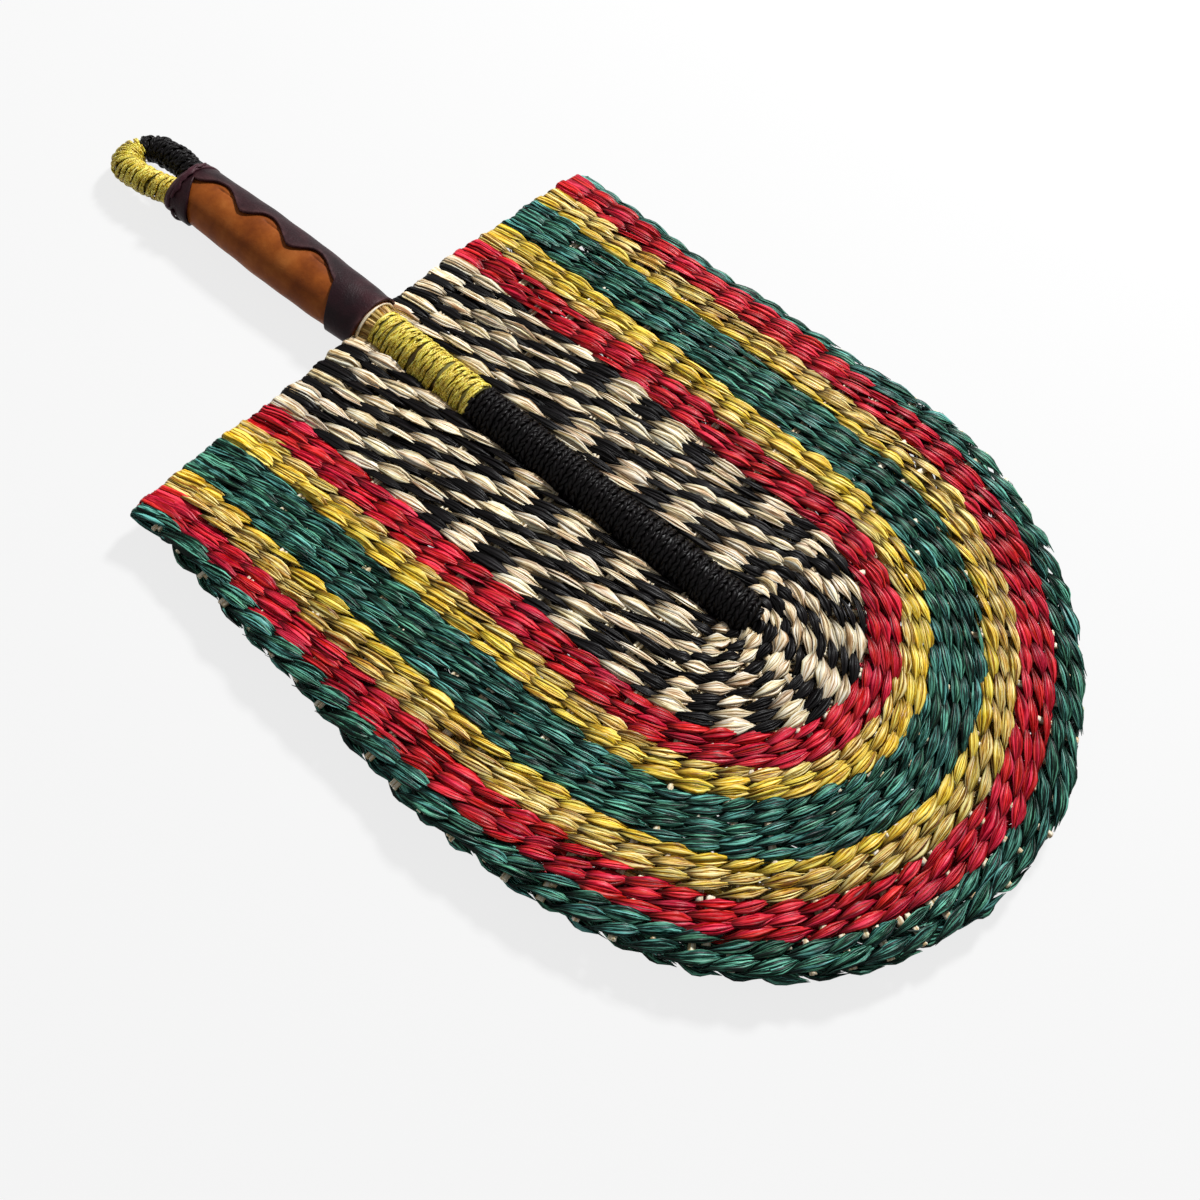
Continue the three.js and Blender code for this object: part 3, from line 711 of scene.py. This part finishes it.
def weave(row, shapes, fullness, rng):
    """Fills a row with its two strands' stitches on both faces, and their ends."""
    crossings = row.crossings()
    gaps = np.r_[EDGE_STITCH, np.diff(crossings), EDGE_STITCH]
    back_gaps = np.r_[BACK_EDGE_STITCH, np.diff(crossings), BACK_EDGE_STITCH]
    reach = np.full(len(crossings), FIELD_REACH if row.in_field else BAND_REACH)
    reach[STRAW_COUNT:STRAW_COUNT + row.spokes] = FIELD_ARC_REACH if row.in_field else BAND_ARC_REACH
    shades = [0.5 + 0.3 * wobble(rng, crossings, 150.0) + rng.normal(0, TINT_SPREAD, len(crossings))
              for _ in shapes]
    fronts = row.turns() % 2
    for i, front in enumerate(fronts):
        for side, strand in ((1, front), (-1, 1 - front)):
            before, after = (gaps if side > 0 else back_gaps)[i:i + 2] * reach[i]
            # The row's end stitches on the back are straight, so that none sticks out at a corner
            hand = 0 if side < 0 and i in (0, len(fronts) - 1) else side
            stitch(shapes[strand], row, crossings[i], before, after, side, hand,
                   fullness[strand], shades[strand][i], rng)
    for end in (0, -1):
        fold(shapes[fronts[end]], row, end, shades[fronts[end]][end], rng)


def weave_row(row, number):
    """One row as a piece, or in the field as two pieces, cream and black."""
    band, index = row.node.rsplit("_", 1)
    rng = np.random.default_rng(100 + number)
    if row.in_field:
        shown_for = "black" if int(index) % 2 == 0 else "cream"
        shapes = {"cream": Shape(), "black": Shape()}
        weave(row, list(shapes.values()), FIELD_FULLNESS, rng)
        for colour, shape in shapes.items():
            nodes = [row.node] if colour == shown_for else []
            piece(f"twined_{colour}_row_{index}", shape, colour, f"{colour}_straw", *nodes)
        return
    shape = Shape()
    weave(row, [shape, shape], (1, 1), rng)
    colour = band.split("_")[1]
    look = "lemon" if row.node in BRIGHT_ROWS else colour
    piece(f"twined_{row.node}", shape, look, f"{colour}_straw", row.node)


# Straws that carry the rows

def flat_straw(shape, start, end, width, thickness, rng):
    """A flat straw from start to end in the blade's plane, with a ridge or two along it."""
    share = np.linspace(0, 1, STRAW_STATIONS)
    centres = start + (end - start) * share[:, None]
    centres[:, 2] += STRAW_WAVE * wobble(rng, share, 0.5)
    ring = ring_angles(STRAW_SIDES)
    ridge = 1 + STRAW_RIDGE * rng.normal(0, 1, STRAW_SIDES)
    same = np.ones(STRAW_STATIONS)
    side_offsets = np.outer(width / 2 * same, soft_power(np.cos(ring), STRAW_SQUARENESS))
    up_offsets = np.outer(thickness / 2 * same, np.sin(ring) * ridge)
    length = np.linalg.norm(end - start)
    shape.tube(settle(centres), np.tile(Z, (STRAW_STATIONS, 1)), side_offsets, up_offsets,
               along=(share * length)[:, None], across=np.cos(ring)[None], tint=rng.random())


def cross_straws(rows):
    """Each cross straw is a pair of flat straws on either side of the spine, out to the rim."""
    rng = np.random.default_rng(7)
    rim = rows[-1].place(rows[-1].crossings())[0]
    for i, run in enumerate(STRAW_RUNS):
        ends = {-1: -rim[STRAW_COUNT - 1 - i, 0], 1: rim[i - STRAW_COUNT, 0]}
        shape = Shape()
        for side in (-1, 1):
            for shift in (-CROSS_STRAW_SHIFT, CROSS_STRAW_SHIFT):
                start = np.array([side * WRAP_RADIUS * CROSS_STRAW_ROOT, -run + shift, 0.0])
                reach = ends[side] + rows[-1].pitch / 2 + rng.uniform(*CROSS_STRAW_ENDS)
                end = np.array([side * reach, -run + shift, 0.0])
                flat_straw(shape, start, end, rng.uniform(*CROSS_STRAW_WIDTHS), STRAW_THICKNESS, rng)
        piece(f"straw_{i + 1:02d}", shape, "natural", "natural_straw", f"cross_straw_{i + 1:02d}")


def tip_straws(rows):
    """Straws round the end: each set of rows with the same count has its own."""
    rng = np.random.default_rng(8)
    shape = Shape()
    sets = {}
    rim = rows[-1].place(rows[-1].crossings())[0][STRAW_COUNT:]
    for row in rows:
        sets.setdefault(row.spokes, []).append(row)
    for spokes, members in sets.items():
        near = members[0].offset - members[0].pitch * STRAW_OVERLAP
        last = members[-1]
        for i in range(spokes):
            angle = math.pi * (1 - (i + 0.5) / spokes)
            out = np.array([math.cos(angle), math.sin(angle), 0.0])
            far = last.offset + last.pitch * STRAW_OVERLAP
            if last is rows[-1]:
                at = math.hypot(rim[i, 0], rim[i, 1])
                far = at + last.pitch / 2 + rng.uniform(*TIP_STRAW_ENDS)
            width = rng.uniform(*TIP_STRAW_WIDTHS)
            flat_straw(shape, out * near, out * far, width, STRAW_THICKNESS, rng)
    piece("spread_straws", shape, "natural", "natural_straw", "tip_straws")


# Windings

# What is wound: how many plies, how tightly they are twisted, how far apart they lie, and their size
Cord = namedtuple("Cord", "plies ply_pitch spread half_width half_thickness")
TWISTED = Cord(2, 5.5, (0.5, 0.36), 0.78, 0.55)
LOOSE = Cord(3, 16.0, (0.55, 0.3), 0.5, 0.46)


def wind(shape, line, start, end, turn, radius, cord, rng, hand=1, lean=0.24, lift=0.2):
    """A cord wound round a line from start to end. Line gives points and two directions."""
    turns = (end - start) / turn
    angle = np.linspace(0, 2 * np.pi * turns, int(turns * WIND_STEPS))
    shake = wobble(rng, angle, 7.0) + 0.5 * wobble(rng, angle, 2.5)
    distance = np.clip(start + angle / (2 * np.pi) * turn + lean * shake * CORD_PITCH, start, end)
    points, across, along = line(distance)
    outward = across * np.cos(angle)[:, None] + Z * np.sin(angle)[:, None]
    reach = radius(distance) + lift * wobble(rng, angle, 4.0)
    arc = np.cumsum(np.r_[0, np.diff(angle) * reach[1:]])
    ring = ring_angles(FIBRE_SIDES)
    side_spread, up_spread = cord.spread
    for ply in range(cord.plies):
        twist = 2 * np.pi * (hand * arc / cord.ply_pitch + ply / cord.plies) + wobble(rng, arc, 20.0)
        side = side_spread * np.cos(twist)
        up = reach + up_spread * np.sin(twist)
        size = 1 + 0.12 * wobble(rng, arc, 12.0)
        tint = np.clip(0.5 + 0.4 * wobble(rng, arc, 60.0) + rng.uniform(-0.2, 0.2), 0, 1)
        shape.tube(
            points + outward * up[:, None] + along * side[:, None], outward,
            np.outer(size, cord.half_width * np.cos(ring)),
            np.outer(size, cord.half_thickness * np.sin(ring)),
            along=arc[:, None], across=ply + np.cos(ring)[None], tint=tint[:, None], deep=0.0)


def wind_side_by_side(shape, line, start, end, cords, radius, cord, rng, hands=(1,), **settings):
    """Several cords wound together, each with its own hand of twist."""
    turn = cords * CORD_PITCH
    for k in range(cords):
        hand = hands[k % len(hands)]
        wind(shape, line, start + k * CORD_PITCH, end, turn, radius, cord, rng, hand, **settings)


def underlay(shape, line, start, end, radius):
    """A layer below a winding, painted fully dark as the shade between its turns, so that no stalk shows
    between them.
    """
    distance = np.linspace(start, end, 60)
    points, across, _ = line(distance)
    reach = radius(distance)
    # Painted shade: the whole layer takes the full shade value.
    shape.round_tube(points, across, reach, reach, 20, distance, tint=0.1, deep=1.0)


def spine_line(run):
    """The spine's middle line, for windings."""
    points = np.stack([0 * run, -run, 0 * run], -1)
    return points, np.tile(X, (len(run), 1)), np.tile(-Y, (len(run), 1))


def spine_radius(inset):
    """The wound spine's radius at a run, rounded off at the blade's end."""
    def radius(run):
        past = np.clip((TIP_ROUNDING - TIP_REACH - run) / TIP_ROUNDING, 0, 0.93)
        return (WRAP_RADIUS - inset) * np.sqrt(1 - past**2)
    return radius


def spine_winding():
    """The black and the yellow winding, each over a layer painted dark as the shade between its turns."""
    rng = np.random.default_rng(21)
    black, yellow = Shape(), Shape()
    below = spine_radius(UNDERLAY_DEPTH)
    underlay(black, spine_line, -TIP_REACH + 0.5, BLACK_WRAP_END, below)
    wind_side_by_side(black, spine_line, -TIP_REACH, BLACK_WRAP_END, 2,
                      spine_radius(BLACK_CORD_DEPTH), TWISTED, rng, (1, -1))
    piece("spine_black_winding", black, "black", "black_straw", "spine_black_wrap")
    underlay(yellow, spine_line, YELLOW_WRAP_START, YELLOW_WRAP_END, below)
    wind_side_by_side(yellow, spine_line, YELLOW_WRAP_START, YELLOW_WRAP_END, 1,
                      spine_radius(YELLOW_CORD_DEPTH), LOOSE, rng, lean=0.3)
    piece("spine_yellow_winding", yellow, "golden", "yellow_wrap", "spine_yellow_wrap")


def stalks():
    """The spine's bundle of stalks, bare between the wrap and the grip."""
    rng = np.random.default_rng(31)
    shape = Shape()
    bare = YELLOW_WRAP_END
    spread_start, spread_end = bare - 2, GRIP_START + 2
    spreading = np.linspace(spread_start, GRIP_START + 6, 8)
    runs = np.r_[STALK_TIP, STALK_SHOULDER, 0.0, bare / 2, bare - 4, spreading, GRIP_END - 1]
    reach = np.interp(runs, [STALK_TIP, STALK_SHOULDER, spread_start, spread_end], STALK_REACH)
    wide = np.interp(runs, [spread_start, spread_end], [1.0, STALK_WIDENING])
    same = np.ones(len(runs))
    for i in range(STALK_COUNT):
        angle = 2 * np.pi * i / STALK_COUNT + rng.uniform(-0.04, 0.04)
        turn = angle + 0.1 * wobble(rng, runs, 60.0)
        centres = np.stack([reach * wide * np.cos(turn), -runs, reach * np.sin(turn)], -1)
        size = STALK_RADIUS * rng.uniform(0.85, 1.15) * same
        shape.round_tube(centres, radial(turn), size, size, 8, runs, tint=rng.random())
    centres = np.stack([0 * runs, -runs, 0 * runs], -1)
    shape.round_tube(centres, np.tile(Z, (len(runs), 1)), reach * wide, reach, 24, runs, tint=0.5)
    piece("spine_stalks", shape.bend(), "stalk", "stalk_bundle", "spine_core")


# Leather

def grip_half(run, out):
    """The grip's half width and half thickness at a run, out from the stalk bundle."""
    share = np.clip((run - GRIP_START) / (GRIP_END - GRIP_START), 0, 1)
    swell = GRIP_BULGE * np.sin(np.pi * share)
    return GRIP_CORE[0] + swell + out, GRIP_CORE[1] + swell + out


def window_share(run):
    return np.clip((run - WINDOW_START) / (WINDOW_END - WINDOW_START), 0, 1)


def scallop_angle(run):
    """The edge of the overlay's window, as an angle from +X, in radians."""
    share = (SCALLOPS * window_share(run)) % 1
    lobe = np.sin(np.pi * share**SCALLOP_LEAN) ** SCALLOP_ROUNDNESS
    return np.radians(CUSP_ANGLE + (LOBE_ANGLE - CUSP_ANGLE) * lobe)


def slit_depth(runs, angles):
    """How deep the tan leather's short slits are at each point, from 0 to 1."""
    depth = np.zeros(np.broadcast(runs, angles).shape)
    length = WINDOW_END - WINDOW_START
    reach = grip_half(runs, SEAT + LEATHER)[1]
    for lobe in range(SCALLOPS):
        middle = WINDOW_START + length * (lobe + SLIT_SHARE) / SCALLOPS
        along = (runs - middle) / (SLIT_LENGTH / 2)
        for side in (-1, 1):
            across = (angles * side - math.radians(SLIT_ANGLE)) * reach / SLIT_WIDTH
            depth = np.maximum(depth, np.exp(-across**2) * np.clip(2 - 2 * np.abs(along), 0, 1))
    return depth


def leather_grid(window):
    """Runs and angles of a grid over the grip, with columns that follow the window's edges."""
    runs = np.linspace(GRIP_START, GRIP_END, GRIP_ROWS)[:, None]
    edge = scallop_angle(runs)
    inside = np.linspace(-1, 1, WINDOW_COLUMNS)
    outside = np.linspace(0, 1, OVERLAY_COLUMNS)[1:-1]
    angles = np.concatenate([inside * edge, edge + outside * (2 * np.pi - 2 * edge)], 1)
    angles = (angles + np.pi) % (2 * np.pi) - np.pi
    ease = np.interp(runs, [GRIP_START, WINDOW_START, WINDOW_END, GRIP_END], [0, 1, 1, 0])
    skew = WINDOW_SKEW * GRIP_CORE[0] * np.clip(np.cos(angles), FARTHEST_SKEW, 1) * ease
    keep = np.ones((len(runs) - 1, angles.shape[1]), bool)
    if window:
        open_row = (runs[:-1, 0] > WINDOW_START - 0.1) & (runs[1:, 0] < WINDOW_END + 0.1)
        open_column = np.arange(angles.shape[1]) < len(inside) - 1
        keep = ~(open_row[:, None] & open_column[None])
    return runs, angles, runs - skew, keep


def leather_skin(name, out, look, slot, node, window):
    """A leather tube round the grip, open at both ends, with or without the scalloped window."""
    runs, angles, shown_runs, keep = leather_grid(window)
    wide, thick = grip_half(runs, out)
    edge = scallop_angle(runs)
    near_end = np.minimum(runs - GRIP_START, GRIP_END - runs)
    from_edge = np.abs(np.abs(angles) - edge) * thick
    share = window_share(runs)
    from_edge = np.where((share > 0) & (share < 1), from_edge, np.inf)
    # A band along the window's edges and the grip's ends takes the edge colour: lighter wear on the overlay,
    # a darker band on the sleeve.
    wear_and_shade = np.exp(-np.minimum(near_end, from_edge) / EDGE_BAND_WIDTH) + 0 * angles
    dent = DENT * np.sin(shown_runs / 3.1 + 2 * np.sin(angles * 2)) * np.sin(shown_runs / 11 + angles)
    if window:
        folds = np.sin(shown_runs / 1.7 + 3 * angles)
        dent = dent + COLLAR_DENT * folds * np.exp(-near_end / COLLAR_DENT_LENGTH)
    else:
        # Painted shade: the sleeve's slits are dented and take its dark edge colour, as the shade inside
        # them.
        depth = slit_depth(shown_runs, angles)
        dent = dent - SLIT_DEPTH * depth
        wear_and_shade = np.maximum(wear_and_shade * 0.6, depth)
    x = (wide + dent) * np.cos(angles)
    z = np.maximum((thick + dent) * np.sin(angles), -ORIGIN[2])
    points = np.stack([x, -shown_runs + 0 * x, z], -1)
    rows, columns = x.shape
    index = np.arange(rows * columns).reshape(rows, columns)
    onward = np.roll(index, -1, 1)
    quads = np.stack([index[:-1], onward[:-1], onward[1:], index[1:]], -1)[keep]
    shape = Shape()
    shape.add(points.reshape(-1, 3), [quads], edge=wear_and_shade.ravel())
    made = piece(name, shape.bend(), look, slot, node)
    thicken = made.modifiers.new("leather", "SOLIDIFY")
    thicken.thickness = LEATHER * MM
    thicken.offset = -1


def grip():
    """The tan sleeve, and over it the dark overlay with its window."""
    layer = SEAT + LEATHER
    leather_skin("tan_sleeve", layer, "tan", "tan_leather", "grip_sleeve", False)
    leather_skin("scalloped_overlay", 2 * layer, "maroon", "dark_leather", "grip_overlay", True)


def mouth_ring():
    """A thin straw that lies round the stalks in the grip's mouth."""
    rng = np.random.default_rng(45)
    angle = np.linspace(0, 2 * np.pi, MOUTH_STATIONS)
    wide, thick = grip_half(np.full(MOUTH_STATIONS, GRIP_START), 0.5)
    run = GRIP_START - 0.4 + 0.5 * wobble(rng, angle, 3.0)
    centres = np.stack([wide * np.cos(angle), -run, thick * np.sin(angle)], -1)
    size = np.full(MOUTH_STATIONS, MOUTH_STRAW_RADIUS)
    shape = Shape()
    shape.round_tube(centres, radial(angle), size, size, 8, angle * 10, tint=0.6)
    piece("mouth_straw", shape.bend(), "natural", "stalk_bundle")


def tie(shape, angle, run, out, size, rng):
    """A crinkled strip of leather round the grip: its angles, runs, lift and half widths."""
    wide, thick = grip_half(run, 2 * (SEAT + LEATHER) + out)
    lift = 0.2 * wobble(rng, angle, 1.2)
    centres = np.stack([(wide + lift) * np.cos(angle), -run, (thick + lift) * np.sin(angle)], -1)
    ring = ring_angles(10)
    ridge = 1 + 0.3 * np.stack([wobble(rng, angle, 1.0, 3) for _ in ring], -1)
    shape.tube(centres, radial(angle), np.outer(size, np.cos(ring)), 0.5 * np.sin(ring) * ridge, edge=0.3)


def thong():
    """One turn of a leather tie at the grip's loop end, and its end twisted over the front."""
    rng = np.random.default_rng(51)
    low, high = runs_of("loop_end_thong")
    shape = Shape()
    angle = np.linspace(0, 2 * np.pi, TIE_STATIONS)
    run = np.interp(angle, [0, 2 * np.pi], [high - 1.0, low + 1.0])
    tie(shape, angle, run, SEAT, 0.9 + 0.15 * wobble(rng, angle, 0.8), rng)
    angle = np.radians(np.linspace(KNOT_START, KNOT_END, KNOT_STATIONS))
    share = np.linspace(0.02, 0.98, KNOT_STATIONS)
    run = np.interp(share, [0, 1], [low + 1.2, high - 0.6]) + 0.3 * np.sin(share * 20)
    size = KNOT_HALF_WIDTH * np.sqrt(np.sin(np.pi * share)) * (1 + 0.25 * np.sin(share * 34))
    tie(shape, angle, run, SEAT + KNOT_LIFT, size, rng)
    shape.points = [np.maximum(points, [-np.inf, -np.inf, -ORIGIN[2]]) for points in shape.points]
    piece("thong_turns", shape.bend(), "purple", "dark_leather", "loop_end_thong")


# Hanging loop

def loop_route():
    """Points along the loop's middle line, close together."""
    steps = np.linspace(0, 1, LOOP_LEG_STATIONS)
    ease = steps * steps * (3 - 2 * steps)
    bend_run = GRIP_END + LOOP_FLARE + LOOP_STRAIGHT
    bend = np.linspace(0, np.pi, LOOP_BEND_STATIONS)
    leg_x = np.r_[LOOP_LEG_X, LOOP_LEG_X + (LOOP_BEND_RADIUS - LOOP_LEG_X) * ease]
    leg_run = np.r_[GRIP_END - LOOP_SOCKET, GRIP_END + LOOP_FLARE * steps]
    x = np.r_[leg_x, LOOP_BEND_RADIUS * np.cos(bend), -leg_x[::-1]]
    run = np.r_[leg_run, bend_run + LOOP_BEND_RADIUS * np.sin(bend), leg_run[::-1]]
    return np.stack([x, -run, 0 * x], -1)


def loop_line(distance):
    """The loop's middle line, for windings."""
    route = loop_route()
    lengths = np.r_[0, np.cumsum(np.linalg.norm(np.diff(route, axis=0), axis=1))]

    def at(where):
        where = np.clip(where, 0, lengths[-1])
        return np.stack([np.interp(where, lengths, route[:, k]) for k in range(3)], -1)

    along = unit(at(distance + 0.6) - at(distance - 0.6))
    return at(distance), np.cross(along, Z), along


def constant(radius):
    return lambda distance: np.full(len(distance), radius)


def loop():
    """The loop's core, and its yellow and black windings, which meet on the bend."""
    rng = np.random.default_rng(61)
    route = loop_route()
    length = np.linalg.norm(np.diff(route, axis=0), axis=1).sum()
    straight = (length - math.pi * LOOP_BEND_RADIUS) / 2
    split = straight + LOOP_BEND_RADIUS * math.radians(LOOP_COLOUR_ANGLE)
    core, yellow, black = Shape(), Shape(), Shape()
    # Painted shade: the core and the layers under both windings are painted fully dark, as the shade between
    # the turns.
    underlay(core, loop_line, 0.5, length - 0.5, constant(LOOP_CORE_RADIUS))
    piece("loop_stalks", core.bend(), "stalk", "stalk_bundle", "loop_core")
    below, wound = constant(LOOP_CORE_RADIUS + LOOP_UNDERLAY), constant(LOOP_WRAP_RADIUS)
    start, end = LOOP_SOCKET - 1, length - LOOP_SOCKET + 1
    underlay(yellow, loop_line, start, split, below)
    wind_side_by_side(yellow, loop_line, start, split, 3, wound, LOOSE, rng, lean=0.22)
    piece("loop_yellow_winding", yellow.bend(), "golden", "yellow_wrap", "loop_yellow_wrap")
    underlay(black, loop_line, split, end, below)
    wind_side_by_side(black, loop_line, split, end, 2, wound, TWISTED, rng, (1, -1))
    piece("loop_black_winding", black.bend(), "black", "black_straw", "loop_black_wrap")


# Floor, light and camera

def seen_rays(tree):
    """1 for a ray that shows the background: the camera's, a mirrored one or one through glass."""
    rays = tree.nodes.new("ShaderNodeLightPath")
    seen = rays.outputs["Is Camera Ray"]
    for name in ("Is Glossy Ray", "Is Transmission Ray"):
        either = tree.nodes.new("ShaderNodeMath")
        either.operation = "MAXIMUM"
        tree.links.new(seen, either.inputs[0])
        tree.links.new(rays.outputs[name], either.inputs[1])
        seen = either.outputs["Value"]
    return seen


def floor():
    """A pale floor that glows for the rays that show the background, and keeps the shadow."""
    corners = [(-1, -1, 0), (1, -1, 0), (1, 1, 0), (-1, 1, 0)]
    mesh = bpy.data.meshes.new("floor")
    mesh.from_pydata((np.array(corners) * FLOOR_HALF).tolist(), [], [(0, 1, 2, 3)])
    nodes = Nodes("floor")
    nodes.shader.inputs["Base Color"].default_value = (FLOOR_SHADE, FLOOR_SHADE, FLOOR_SHADE, 1.0)
    nodes.shader.inputs["Roughness"].default_value = FLOOR_ROUGHNESS
    glow = nodes.add("ShaderNodeEmission")
    mix = nodes.add("ShaderNodeMixShader")
    nodes.link(nodes.math("MULTIPLY", seen_rays(nodes.tree), FLOOR_GLOW), mix.inputs["Fac"])
    nodes.link(nodes.shader.outputs["BSDF"], mix.inputs[1])
    nodes.link(glow.outputs["Emission"], mix.inputs[2])
    nodes.link(mix.outputs["Shader"], nodes.tree.nodes["Material Output"].inputs["Surface"])
    mesh.materials.append(nodes.material)
    made = bpy.data.objects.new("floor", mesh)
    bpy.context.scene.collection.objects.link(made)


def sky():
    """An even light from all round, which shows as white where the background is seen."""
    world = bpy.data.worlds.new("studio")
    bpy.context.scene.world = world
    world.use_nodes = True
    tree = world.node_tree
    background = tree.nodes["Background"]
    background.inputs["Color"].default_value = (1.0, 1.0, 1.0, 1.0)
    strength = tree.nodes.new("ShaderNodeMapRange")
    strength.inputs["To Min"].default_value = SKY_STRENGTH
    strength.inputs["To Max"].default_value = 1.0
    tree.links.new(seen_rays(tree), strength.inputs["Value"])
    tree.links.new(strength.outputs["Result"], background.inputs["Strength"])


def lamp(name, place, target, size, power):
    """A square lamp at a place, aimed at a target, in metres and watts."""
    data = bpy.data.lights.new(name, "AREA")
    data.size = size
    data.energy = power
    made = bpy.data.objects.new(name, data)
    made.location = place
    made.rotation_euler = (Vector(target) - Vector(place)).to_track_quat("-Z", "Y").to_euler()
    bpy.context.scene.collection.objects.link(made)


def lights():
    lamp("key", place=(-1.0, -0.1, 1.05), target=(0, 0.05, 0), size=0.2, power=30.0)
    lamp("fill", place=(0.9, -0.7, 1.2), target=(0, 0, 0), size=1.2, power=1.5)


def camera():
    """The photograph's camera, with its roll."""
    azimuth, elevation, roll = np.radians([CAMERA_AZIMUTH, CAMERA_ELEVATION, CAMERA_ROLL])
    level = np.array([math.cos(azimuth), math.sin(azimuth), 0.0])
    back = np.array([level[1], -level[0], 0.0]) * math.cos(elevation) + Z * math.sin(elevation)
    upright = np.cross(back, level)
    right = math.cos(roll) * level + math.sin(roll) * upright
    up = -math.sin(roll) * level + math.cos(roll) * upright
    place = (ORIGIN + CAMERA_TARGET + back * CAMERA_DISTANCE) * MM
    data = bpy.data.cameras.new("camera")
    data.lens = CAMERA_LENS
    data.sensor_width = CAMERA_SENSOR
    data.clip_start, data.clip_end = 0.01, 20.0
    made = bpy.data.objects.new("camera", data)
    turn = Matrix((right, up, back)).transposed().to_4x4()
    made.matrix_world = Matrix.Translation(place) @ turn
    bpy.context.scene.collection.objects.link(made)
    bpy.context.scene.camera = made


rows = read_rows()
for number, row in enumerate(rows):
    weave_row(row, number)
cross_straws(rows)
tip_straws(rows)
spine_winding()
stalks()
grip()
mouth_ring()
thong()
loop()
floor()
sky()
lights()
camera()
bpy.context.scene.view_settings.view_transform = "Standard"
